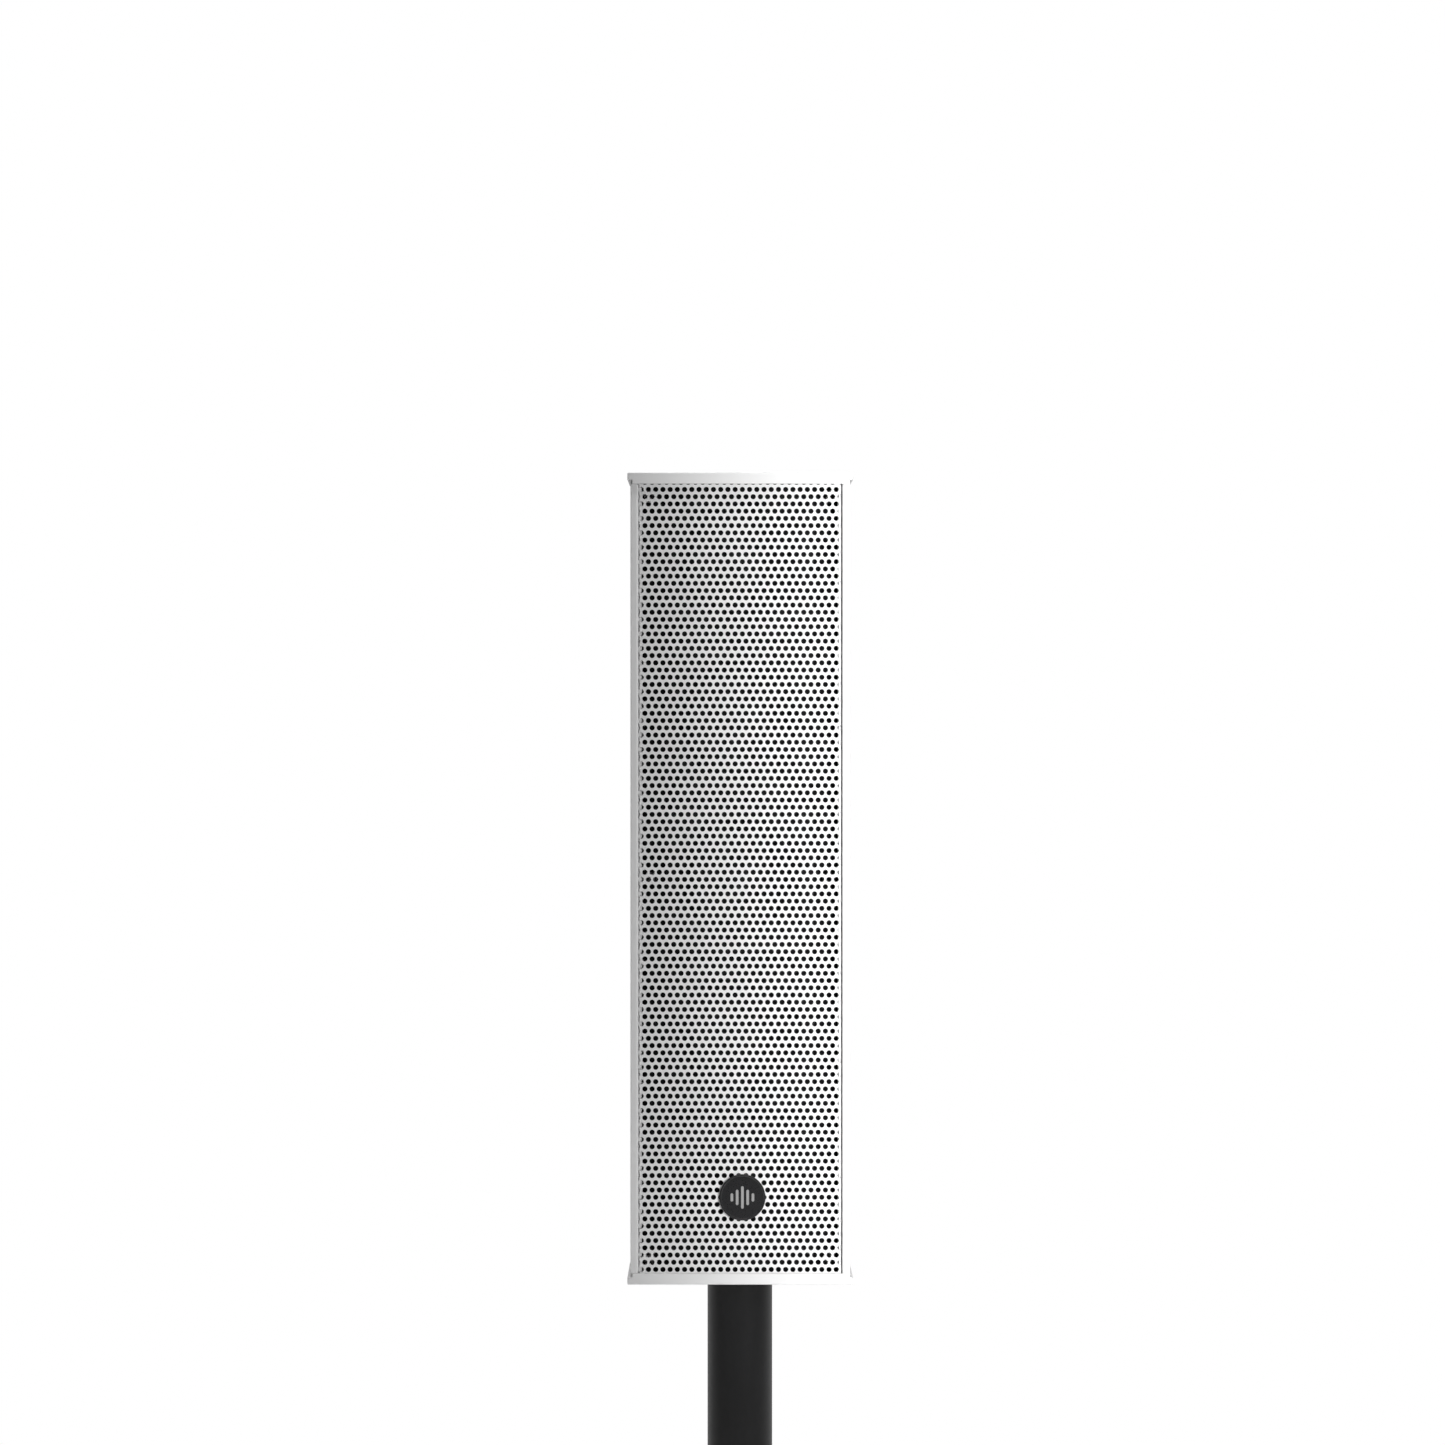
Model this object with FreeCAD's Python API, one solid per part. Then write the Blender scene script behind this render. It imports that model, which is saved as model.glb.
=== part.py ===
import FreeCAD, Part
import math
import os

# Slim column loudspeaker on a 35 mm pole, each piece written as its own STEP file.
# Millimetres, +Z up, front towards -Y. The pole is on the Z axis and its lower end is at z = 0.
V = FreeCAD.Vector
os.makedirs("parts", exist_ok=True)

# Cabinet and caps
CABINET_HEIGHT = 431.3      # over both caps
BODY_WIDTH = 116.6
BODY_DEPTH = 130.0          # rail fronts to back wall
WALL = 2.5
REAR_RADIUS = 22.0
CAP_THICKNESS = 3.8
CAP_OVERHANG = 1.6          # past the body at the sides and the back
CAP_PROUD = 2.0             # past the rail fronts
CAP_EDGE = 0.5
CAP_CORNER = 0.6            # its two front corners
SKIRT_INSET = 1.05          # skirt's ends from the body's sides
SKIRT_DROP = 2.1
COLLAR_HEIGHT = 6.0         # cap collar that locates inside the body
COLLAR_WALL = 3.0
SEAL_WIDTH = 1.2
SEAL_DEPTH = 1.2

# Front rails, grille and baffle, as depths behind the rail fronts
RAIL_WIDTH = 4.2
RAIL_ROUND = 1.2            # towards the grille
RAIL_EDGE = 0.4             # towards the side
GRILLE_SETBACK = 1.2
GRILLE_THICKNESS = 1.2
GRILLE_GAP = 0.55           # grille edge to rail
LEDGE_THICKNESS = 2.5
LEDGE_LAP = 1.2             # grille edge over its ledge
BAFFLE_SETBACK = 16.0
BAFFLE_THICKNESS = 5.0
BAFFLE_GASKET = 1.0
FLANGE_THICKNESS = 3.0      # body flange that the baffle screws into
FLANGE_WIDTH = 14.3         # from the body's side

# Perforation: staggered rows of round holes
HOLE_RADIUS = 1.35
PITCH = 3.8385              # along a row, and from row to row
FIRST_ROW = 7.84            # above the cabinet's bottom
COLUMN_OFFSET = 1.16        # the column of holes nearest the centre
ROWS_PER_BAND = 5

# Drivers
DRIVER_COUNT = 5
DRIVER_PITCH = 84.0
FRAME_SIZE = 79.0
FRAME_CORNER = 9.0
FRAME_THICKNESS = 2.5
DRIVER_SCREW_SPREAD = 33.0
CONE_RADIUS = 26.2
ROLL_RADIUS = 2.75
COIL_RADIUS = 9.8           # outside of the coil's former
MAGNET_RADIUS = 27.0
FLOOR_DEPTH = 23.0          # frame's face to the basket's floor
FLOOR_THICKNESS = 1.5
TOP_PLATE = 4.0
FERRITE = 10.0
BACK_PLATE = 4.0

# Pole, cup and clamp
POLE_RADIUS = 17.5
POLE_WALL = 2.5
POLE_EXPOSED = 150.0
SPIGOT_STEP = 0.5           # turned off the tube's upper end
SPIGOT_LENGTH = 76.0
SHOULDER_GAP = 0.3
CUP_WALL = 2.5
CUP_ROOM = 2.95             # cup to the nearest driver's magnet
CUP_FLANGE_REACH = 8.95     # past the cup's wall
CUP_FLANGE_THICKNESS = 4.0
CUP_ROOF = 4.0
BUSH_WALL = 1.5
CLAMP_HEIGHT = 32.0         # above the cabinet's bottom
CLAMP_STUD_RADIUS = 4.0
KNOB_RADIUS = 16.0

# Back of the cabinet
INPUT_WIDTH = 66.0
INPUT_HEIGHT = 96.0
INPUT_THICKNESS = 2.0
INPUT_GASKET = 0.8
INPUT_CENTRE = 116.0        # above the cabinet's bottom
INPUT_LAP = 6.0             # plate past its opening
BRACKET_CENTRE = 250.0
BRACKET_SPREAD_X = 20.0
BRACKET_SPREAD_Z = 35.0
INSERT_BORE_RADIUS = 3.0
TRANSFORMER_CENTRE = 345.0

# Fits
RUNNING = 0.05
THREAD_FIT = 0.06
LOCATING = 0.3
SCREW_CLEARANCE = 0.3
GLUE_LINE = 0.05            # between a cone and the soft parts glued to it

# Places that follow from the sizes above
SPIGOT_RADIUS = POLE_RADIUS - SPIGOT_STEP
BUSH_RADIUS = SPIGOT_RADIUS + RUNNING + BUSH_WALL
CUP_RADIUS = BUSH_RADIUS + CUP_WALL
CUP_FLANGE_RADIUS = CUP_RADIUS + CUP_FLANGE_REACH
DRIVER_DEPTH = FLOOR_DEPTH + FLOOR_THICKNESS + TOP_PLATE + FERRITE + BACK_PLATE
MAGNET_SETBACK = BAFFLE_SETBACK - FRAME_THICKNESS + DRIVER_DEPTH
FRONT = -(MAGNET_SETBACK + CUP_ROOM + CUP_RADIUS)
BACK = FRONT + BODY_DEPTH
BACK_INSIDE = BACK - WALL
HALF_WIDTH = BODY_WIDTH / 2
BOTTOM = POLE_EXPOSED
TOP = BOTTOM + CABINET_HEIGHT
MIDDLE = (BOTTOM + TOP) / 2
BODY_BOTTOM = BOTTOM + CAP_THICKNESS
BODY_TOP = TOP - CAP_THICKNESS
CAP_FRONT = FRONT - CAP_PROUD
RAIL_INNER = HALF_WIDTH - RAIL_WIDTH
GRILLE_HALF = RAIL_INNER - GRILLE_GAP
GRILLE_FRONT = FRONT + GRILLE_SETBACK
LEDGE_FRONT = GRILLE_FRONT + GRILLE_THICKNESS
LEDGE_BACK = LEDGE_FRONT + LEDGE_THICKNESS
LEDGE_INNER = GRILLE_HALF - LEDGE_LAP
BAFFLE_FRONT = FRONT + BAFFLE_SETBACK
BAFFLE_BACK = BAFFLE_FRONT + BAFFLE_THICKNESS
FLANGE_FRONT = BAFFLE_BACK + BAFFLE_GASKET
FLANGE_BACK = FLANGE_FRONT + FLANGE_THICKNESS
BAFFLE_HALF = LEDGE_INNER - LOCATING
FLANGE_INNER = HALF_WIDTH - FLANGE_WIDTH
FRAME_FACE = BAFFLE_FRONT - FRAME_THICKNESS
SPIGOT_TOP = BOTTOM + SPIGOT_LENGTH
CLAMP_Z = BOTTOM + CLAMP_HEIGHT
INPUT_Z = BOTTOM + INPUT_CENTRE
INPUT_BACK = BACK + INPUT_GASKET + INPUT_THICKNESS
BRACKET_Z = BOTTOM + BRACKET_CENTRE
TRANSFORMER_Z = BOTTOM + TRANSFORMER_CENTRE
DRIVER_HEIGHTS = [MIDDLE + (i - (DRIVER_COUNT - 1) / 2) * DRIVER_PITCH for i in range(DRIVER_COUNT)]


# ---- Shapes used by several pieces ----
def block(x0, x1, y0, y1, z0, z1):
    """Box between two corners."""
    return Part.makeBox(x1 - x0, y1 - y0, z1 - z0, V(x0, y0, z0))


def rod(radius, start, end):
    """Cylinder from one point to another."""
    along = end.sub(start)
    return Part.makeCylinder(radius, along.Length, start, along)


def rod_y(radius, x, z, y0, y1):
    return rod(radius, V(x, y0, z), V(x, y1, z))


def rod_z(radius, x, y, z0, z1):
    return rod(radius, V(x, y, z0), V(x, y, z1))


def mirrored_x(shape):
    return shape.mirror(V(0, 0, 0), V(1, 0, 0))


def slab(corners, z0, z1):
    """Prism from z0 to z1 over (x, y, radius) corners, each corner rounded by its radius."""
    edges, start = [], None
    for i, (x, y, radius) in enumerate(corners):
        here = V(x, y, z0)
        x_on, y_on, _ = corners[(i + 1) % len(corners)]
        back = V(corners[i - 1][0], corners[i - 1][1], z0).sub(here).normalize()
        on = V(x_on, y_on, z0).sub(here).normalize()
        entry = leave = here
        if radius:
            half = back.getAngle(on) / 2
            reach = radius / math.tan(half)
            inward = back.add(on).normalize()
            entry, leave = here.add(back * reach), here.add(on * reach)
            turn = here.add(inward * (radius / math.sin(half) - radius))
        if start is not None:
            edges.append(Part.makeLine(last, entry))
        else:
            start = entry
        if radius:
            edges.append(Part.Arc(entry, turn, leave).toShape())
        last = leave
    edges.append(Part.makeLine(last, start))
    return Part.Face(Part.Wire(edges)).extrude(V(0, 0, z1 - z0))


def plate_y(half_width, z0, z1, corner, y0, y1):
    """Plate that faces along Y, from y0 to y1, with four rounded corners."""
    corners = [(-half_width, -z0, corner), (half_width, -z0, corner),
               (half_width, -z1, corner), (-half_width, -z1, corner)]
    plate = slab(corners, y0, y1)
    plate.rotate(V(0, 0, 0), V(1, 0, 0), -90)
    return plate


def turned(profile, axis_z, axis_x=0.0):
    """Solid turned about the line along Y through (axis_x, axis_z), from (radius, y) points."""
    points = [V(axis_x + r, y, axis_z) for r, y in profile]
    face = Part.Face(Part.makePolygon(points + points[:1]))
    return face.revolve(V(axis_x, 0, axis_z), V(0, 1, 0), 360)


def turned_z(profile):
    """Solid turned about the pole's axis, from (radius, z) points."""
    points = [V(r, 0, z) for r, z in profile]
    face = Part.Face(Part.makePolygon(points + points[:1]))
    return face.revolve(V(0, 0, 0), V(0, 0, 1), 360)


def body_outline(inset, front, corner=0.0):
    """Outline of the body moved in by inset, with its rounded rear corners."""
    half, back, rear = HALF_WIDTH - inset, BACK - inset, REAR_RADIUS - inset
    return [(-half, front, corner), (half, front, corner), (half, back, rear), (-half, back, rear)]


def four(spread_x, spread_z, centre_z):
    """Four places on a rectangle, as (x, z)."""
    return [(sx * spread_x, centre_z + sz * spread_z) for sx in (-1, 1) for sz in (-1, 1)]


def pan_screw(radius, head_radius, head_height, length, x, z, seat, outward):
    """Screw along Y whose pan head stands outward (-1 front, 1 back) from its seat."""
    head = rod_y(head_radius, x, z, seat, seat + outward * head_height)
    head = head.makeFillet(head_height * 0.45, [outermost_edge(head, outward)])
    slot_depth = head_height * 0.5
    face = seat + outward * head_height
    for half_x, half_z in ((head_radius * 0.62, 0.4), (0.4, head_radius * 0.62)):
        head = head.cut(block(x - half_x, x + half_x, min(face, face - outward * slot_depth),
                              max(face, face - outward * slot_depth), z - half_z, z + half_z))
    return head.fuse(rod_y(radius, x, z, seat, seat - outward * length)).removeSplitter()


def outermost_edge(shape, outward):
    """The round edge of a disc that lies furthest along Y in the outward direction."""
    rings = [e for e in shape.Edges if isinstance(e.Curve, Part.Circle)]
    return max(rings, key=lambda e: outward * e.Curve.Center.y)


# ---- Cabinet body ----
PORT_OUTER = 4.2
PORT_BORE = 1.6


def screw_ports():
    """Places of the four channels that take the cap screws, as (x, y)."""
    front_port = (HALF_WIDTH - WALL - PORT_OUTER + 1.0, FLANGE_BACK + PORT_OUTER + 2.8)
    inner = REAR_RADIUS - WALL - PORT_OUTER + 1.2
    diagonal = inner * math.sqrt(0.5)
    rear_port = (HALF_WIDTH - REAR_RADIUS + diagonal, BACK - REAR_RADIUS + diagonal)
    return [(side * x, y) for x, y in (front_port, rear_port) for side in (-1, 1)]


def cabinet_extrusion():
    z0, z1 = BODY_BOTTOM, BODY_TOP
    walls = slab(body_outline(0, LEDGE_FRONT), z0, z1)
    walls = walls.cut(slab(body_outline(WALL, LEDGE_FRONT - 1), z0, z1))
    rail = slab([(RAIL_INNER, FRONT, RAIL_ROUND), (HALF_WIDTH, FRONT, RAIL_EDGE),
                 (HALF_WIDTH, LEDGE_BACK, 0), (RAIL_INNER, LEDGE_BACK, 0)], z0, z1)
    ledge = block(LEDGE_INNER, HALF_WIDTH - WALL / 2, LEDGE_FRONT, LEDGE_BACK, z0, z1)
    flange = block(FLANGE_INNER, HALF_WIDTH - WALL / 2, FLANGE_FRONT, FLANGE_BACK, z0, z1)
    side = rail.fuse([ledge, flange])
    body = walls.fuse([side, mirrored_x(side)])
    ports = [rod_z(PORT_OUTER, x, y, z0, z1) for x, y in screw_ports()]
    body = body.fuse(ports).cut([rod_z(PORT_BORE, x, y, z0, z1) for x, y in screw_ports()])
    cuts = [plate_y(INPUT_WIDTH / 2 - INPUT_LAP, INPUT_Z - INPUT_HEIGHT / 2 + INPUT_LAP,
                    INPUT_Z + INPUT_HEIGHT / 2 - INPUT_LAP, 3.0, BACK_INSIDE - 1, BACK + 1)]
    cuts.append(rod_y(CLAMP_STUD_RADIUS + SCREW_CLEARANCE + 0.4, 0, CLAMP_Z, BACK_INSIDE - 1, BACK + 1))
    cuts += [rod_y(INSERT_BODY_RADIUS, x, z, BACK_INSIDE - 1, BACK + 1) for x, z in insert_places()]
    cuts += [rod_y(SMALL_SCREW, x, z, BACK_INSIDE - 1, BACK + 1) for x, z in input_screw_places()]
    cuts += [rod_y(SMALL_SCREW, x, z, BACK_INSIDE - 1, BACK + 1) for x, z in transformer_places()]
    cuts += [rod_y(SMALL_SCREW, x, z, FLANGE_FRONT - 1, FLANGE_BACK + 1)
             for x, z in baffle_screw_places()]
    return body.cut(cuts).removeSplitter()


# ---- End caps ----
CAP_SCREW_RADIUS = 1.6
CAP_SCREW_HEAD = 3.6
CAP_SCREW_LENGTH = 12.0


def countersunk(x, y, outer, inward, radius, head_radius, length):
    """Countersunk screw along Z: its flat head is flush with the face at z = outer."""
    cone = Part.makeCone(head_radius, radius, head_radius - radius, V(x, y, outer), V(0, 0, inward))
    shank = rod_z(radius, x, y, outer, outer + inward * length)
    recess = block(x - 1.6, x + 1.6, y - 0.4, y + 0.4, outer - 1, outer + 1)
    cross = block(x - 0.4, x + 0.4, y - 1.6, y + 1.6, outer - 1, outer + 1)
    return cone.fuse(shank).cut([recess, cross]).removeSplitter()


def countersink(x, y, outer, inward, radius, head_radius):
    """Hole for a countersunk screw, through the cap's plate."""
    cone = Part.makeCone(head_radius, radius, head_radius - radius, V(x, y, outer), V(0, 0, inward))
    return cone.fuse(rod_z(radius + SCREW_CLEARANCE, x, y, outer, outer + inward * 2 * CAP_THICKNESS))


def seal_strip():
    """U-shaped cord that lies under the end of the body's walls."""
    inset = (WALL - SEAL_WIDTH) / 2
    outer = slab(body_outline(inset, FLANGE_BACK), BODY_BOTTOM - SEAL_DEPTH, BODY_BOTTOM)
    inner_cut = body_outline(inset + SEAL_WIDTH, FLANGE_BACK - 1)
    return outer.cut(slab(inner_cut, BODY_BOTTOM - SEAL_DEPTH, BODY_BOTTOM))


def plain_cap():
    """Bottom cap before its pole hole: plate, front skirt, grille tongue and locating collar."""
    half, back = HALF_WIDTH + CAP_OVERHANG, BACK + CAP_OVERHANG
    rear = REAR_RADIUS + CAP_OVERHANG
    plate = slab([(-half, CAP_FRONT, CAP_CORNER), (half, CAP_FRONT, CAP_CORNER),
                  (half, back, rear), (-half, back, rear)], BOTTOM, BODY_BOTTOM)
    rim = [e for e in plate.Edges if e.BoundBox.ZMax < BOTTOM + 0.01]
    plate = plate.makeFillet(CAP_EDGE, rim)
    skirt_half = HALF_WIDTH - SKIRT_INSET
    skirt = block(-skirt_half, skirt_half, CAP_FRONT, FRONT,
                  BODY_BOTTOM - 1, BODY_BOTTOM + SKIRT_DROP)
    tongue = block(-GRILLE_HALF, GRILLE_HALF, FRONT - 1, GRILLE_FRONT,
                   BODY_BOTTOM - 1, BODY_BOTTOM + SKIRT_DROP)
    collar_z = BODY_BOTTOM + COLLAR_HEIGHT
    collar_front = FLANGE_BACK + LOCATING
    inset = WALL + LOCATING
    collar = slab(body_outline(inset, collar_front, 1.0), BODY_BOTTOM - 1, collar_z)
    inner = body_outline(inset + COLLAR_WALL, collar_front + COLLAR_WALL)
    collar = collar.cut(slab(inner, BODY_BOTTOM, collar_z + 1))
    cap = plate.fuse([skirt, tongue, collar])
    port_room = [rod_z(PORT_OUTER + LOCATING, x, y, BODY_BOTTOM, collar_z + 1)
                 for x, y in screw_ports()]
    holes = [countersink(x, y, BOTTOM, 1, CAP_SCREW_RADIUS, CAP_SCREW_HEAD)
             for x, y in screw_ports()]
    return cap.cut(port_room + holes + [seal_strip()]).removeSplitter()


def to_top(shape):
    """The same shape, turned over to the cabinet's top end."""
    return shape.mirror(V(0, 0, MIDDLE), V(0, 0, 1))


def top_cap():
    return to_top(plain_cap())


def bottom_cap():
    cuts = [rod_z(BUSH_RADIUS + LOCATING, 0, 0, BOTTOM - 1, BODY_BOTTOM + 1)]
    cuts += [countersink(x, y, BOTTOM, 1, CUP_SCREW_RADIUS, CUP_SCREW_HEAD) for x, y in cup_screw_places()]
    return plain_cap().cut(cuts).removeSplitter()


def cap_gaskets():
    return Part.makeCompound([seal_strip(), to_top(seal_strip())])


def cap_screws():
    lower = [countersunk(x, y, BOTTOM, 1, CAP_SCREW_RADIUS, CAP_SCREW_HEAD, CAP_SCREW_LENGTH)
             for x, y in screw_ports()]
    return Part.makeCompound(lower + [to_top(screw) for screw in lower])


# ---- Grille and badge ----
BADGE_RADIUS = 12.3
BADGE_THICKNESS = 1.8
BADGE_ROW = 10              # the row of holes that the badge's pin goes through
BADGE_RIM = 0.9
BADGE_RECESS = 0.5          # face of the disc behind its rim
BAR_WIDTH = 1.5
BAR_PITCH = 2.8
BAR_LONGEST = 12.0
BAR_STEP = 3.8              # each bar is this much shorter than its inner neighbour
BAR_RELIEF = 0.4
SHALLOWEST_CUT = 0.1
ALL_ROWS = range(-3, int(CABINET_HEIGHT / PITCH) + 3)


def row_height(row):
    return BOTTOM + FIRST_ROW + row * PITCH


def hole_columns(row):
    """Hole centres of one row, in step with the staggered pattern."""
    reach = int(GRILLE_HALF / PITCH) + 2
    shift = COLUMN_OFFSET + (PITCH / 2 if row % 2 else 0.0)
    return [shift + i * PITCH for i in range(-reach, reach + 1)]


def is_cut_open(place, edge):
    """True if a hole centred at place is cut open by the sheet's edge; a shallower cut isn't made."""
    return abs(place - edge) < HOLE_RADIUS - SHALLOWEST_CUT


def edge_notches(rows, side):
    """Holes of these rows that the sheet's edge at x = side * GRILLE_HALF cuts open."""
    edge = side * GRILLE_HALF
    return [(x, row_height(row)) for row in rows for x in hole_columns(row)
            if is_cut_open(x, edge)]


def is_whole(x):
    """True if a hole centred at x leaves a web at the sheet's sides."""
    return abs(x) + HOLE_RADIUS < GRILLE_HALF - SHALLOWEST_CUT


def end_notches(end):
    """Holes that the sheet's lower or upper end, at height end, cuts open."""
    rows = [row for row in ALL_ROWS if is_cut_open(row_height(row), end)]
    return [rod_y(HOLE_RADIUS, x, row_height(row), GRILLE_FRONT - 1, LEDGE_FRONT + 1)
            for row in rows for x in hole_columns(row) if is_whole(x)]


def edge_side(rows, side, z0, z1):
    """Edge of the sheet from z0 up to z1, with its cut-open holes."""
    x_edge, z_last, edges = side * GRILLE_HALF, z0, []
    for x, z in edge_notches(rows, side):
        half = math.sqrt(HOLE_RADIUS ** 2 - (x - x_edge) ** 2)
        low, high = V(x_edge, 0, z - half), V(x_edge, 0, z + half)
        edges.append(Part.makeLine(V(x_edge, 0, z_last), low))
        edges.append(Part.Arc(low, V(x - side * HOLE_RADIUS, 0, z), high).toShape())
        z_last = z + half
    return edges + [Part.makeLine(V(x_edge, 0, z_last), V(x_edge, 0, z1))]


def grille_band(rows, z0, z1):
    """One band of the sheet with the holes of its rows, as a solid."""
    corners = [V(-GRILLE_HALF, 0, z0), V(GRILLE_HALF, 0, z0), V(GRILLE_HALF, 0, z1), V(-GRILLE_HALF, 0, z1)]
    edges = [Part.makeLine(corners[0], corners[1]), Part.makeLine(corners[3], corners[2])]
    edges += edge_side(rows, 1, z0, z1) + edge_side(rows, -1, z0, z1)
    wires = [Part.Wire(Part.__sortEdges__(edges))]
    for row in rows:
        for x in hole_columns(row):
            if is_whole(x):
                ring = Part.Circle(V(x, 0, row_height(row)), V(0, 1, 0), HOLE_RADIUS)
                wires.append(Part.Wire([ring.toShape()]))
    band = Part.Face(wires)
    band.translate(V(0, GRILLE_FRONT, 0))
    return band.extrude(V(0, GRILLE_THICKNESS, 0))


def front_grille():
    """Perforated sheet, put together from bands of rows that share their edges."""
    low, high = BODY_BOTTOM + LOCATING, BODY_TOP - LOCATING
    margin = HOLE_RADIUS + LOCATING
    rows = [row for row in ALL_ROWS if low + margin < row_height(row) < high - margin]
    starts = rows[ROWS_PER_BAND::ROWS_PER_BAND]
    cuts = [low] + [row_height(row) - PITCH / 2 for row in starts] + [high]
    faces = []
    for z0, z1 in zip(cuts[:-1], cuts[1:]):
        band = grille_band([row for row in rows if z0 < row_height(row) < z1], z0, z1)
        notches = [notch for z in (z0, z1) if z in (low, high) for notch in end_notches(z)]
        band = band.cut(notches) if notches else band
        inner = [z for z in (z0, z1) if z not in (low, high)]
        faces += [face for face in band.Faces
                  if not any(is_level(face, z) for z in inner)]
    return Part.Solid(Part.Shell(faces))


def is_level(face, z):
    """True if the face is flat and lies at height z."""
    return face.BoundBox.ZLength < 1e-6 and abs(face.BoundBox.ZMin - z) < 1e-6


def badge_place():
    return COLUMN_OFFSET, row_height(BADGE_ROW)


def badge():
    """Disc with a raised rim and five raised bars, on a pin through one of the grille's holes."""
    x, z = badge_place()
    front = GRILLE_FRONT - BADGE_THICKNESS
    face = front + BADGE_RECESS
    disc = turned([(0, GRILLE_FRONT), (BADGE_RADIUS, GRILLE_FRONT), (BADGE_RADIUS, front + 0.4),
                   (BADGE_RADIUS - 0.4, front), (BADGE_RADIUS - BADGE_RIM, front),
                   (BADGE_RADIUS - BADGE_RIM - 0.3, face), (0, face)], z, x)
    pin = rod_y(HOLE_RADIUS - 0.1, x, z, face + 0.1, LEDGE_FRONT + 3)
    nut = rod_y(3.2, x, z, LEDGE_FRONT, LEDGE_FRONT + 0.8)
    bars = []
    for i in range(-2, 3):
        middle, half = x + i * BAR_PITCH, (BAR_LONGEST - BAR_STEP * abs(i)) / 2
        bars.append(block(middle - BAR_WIDTH / 2, middle + BAR_WIDTH / 2, face - BAR_RELIEF, face + 0.1,
                          z - half, z + half))
    return disc.fuse([pin, nut] + bars).removeSplitter()


# ---- Baffle ----
SMALL_SCREW = 1.7
BAFFLE_SCREW_INSET = 10.8
BAFFLE_SCREW_MARGIN = 12.3
BAFFLE_HOLE = 36.4


def baffle_screw_places():
    heights = (BOTTOM + BAFFLE_SCREW_MARGIN, MIDDLE, TOP - BAFFLE_SCREW_MARGIN)
    reach = HALF_WIDTH - BAFFLE_SCREW_INSET
    return [(side * reach, z) for z in heights for side in (-1, 1)]


def driver_screw_places():
    return [place for z in DRIVER_HEIGHTS for place in four(DRIVER_SCREW_SPREAD, DRIVER_SCREW_SPREAD, z)]


def baffle():
    board = block(-BAFFLE_HALF, BAFFLE_HALF, BAFFLE_FRONT, BAFFLE_BACK,
                  BODY_BOTTOM + LOCATING, BODY_TOP - LOCATING)
    cuts = [rod_y(BAFFLE_HOLE, 0, z, BAFFLE_FRONT - 1, BAFFLE_BACK + 1) for z in DRIVER_HEIGHTS]
    cuts += [rod_y(SMALL_SCREW, x, z, BAFFLE_FRONT - 1, BAFFLE_BACK + 1) for x, z in driver_screw_places()]
    cuts += [rod_y(SMALL_SCREW + SCREW_CLEARANCE, x, z, BAFFLE_FRONT - 1, BAFFLE_BACK + 1)
             for x, z in baffle_screw_places()]
    return board.cut(cuts)


def baffle_gasket():
    """Foam frame between the baffle and the body's flanges."""
    low, high = BODY_BOTTOM + COLLAR_HEIGHT / 2, BODY_TOP - COLLAR_HEIGHT / 2
    strip = block(FLANGE_INNER, BAFFLE_HALF, BAFFLE_BACK, FLANGE_FRONT, low, high)
    cuts = [rod_y(SMALL_SCREW + SCREW_CLEARANCE, x, z, BAFFLE_BACK - 1, FLANGE_FRONT + 1)
            for x, z in baffle_screw_places()]
    across = [block(-FLANGE_INNER, FLANGE_INNER, BAFFLE_BACK, FLANGE_FRONT, z, z + 4)
              for z in (low, high - 4)]
    return strip.fuse([mirrored_x(strip)] + across).cut(cuts).removeSplitter()


def baffle_screws():
    length = BAFFLE_THICKNESS + BAFFLE_GASKET + FLANGE_THICKNESS + 1.5
    return Part.makeCompound([pan_screw(SMALL_SCREW, 3.6, 2.4, length, x, z, BAFFLE_FRONT, -1)
                              for x, z in baffle_screw_places()])


def driver_screws():
    length = FRAME_THICKNESS + BAFFLE_THICKNESS + 3.0
    return Part.makeCompound([pan_screw(SMALL_SCREW, 3.1, 2.1, length, x, z, FRAME_FACE, -1)
                              for x, z in driver_screw_places()])


# ---- Drivers, as depths behind the frame's face ----
BOWL_OUTER = 36.0
BOWL_WALL = 1.4
BOWL_FLOOR_RADIUS = 28.0
SHELF_DEPTH = 19.0
SHELF_INNER = 22.5
ROLL_CENTRE = 29.0
LIP_THICKNESS = 0.5
POLE_PIECE = 9.3
NECK_DEPTH = 12.0
WINDOW_WIDTH = 34.0


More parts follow.
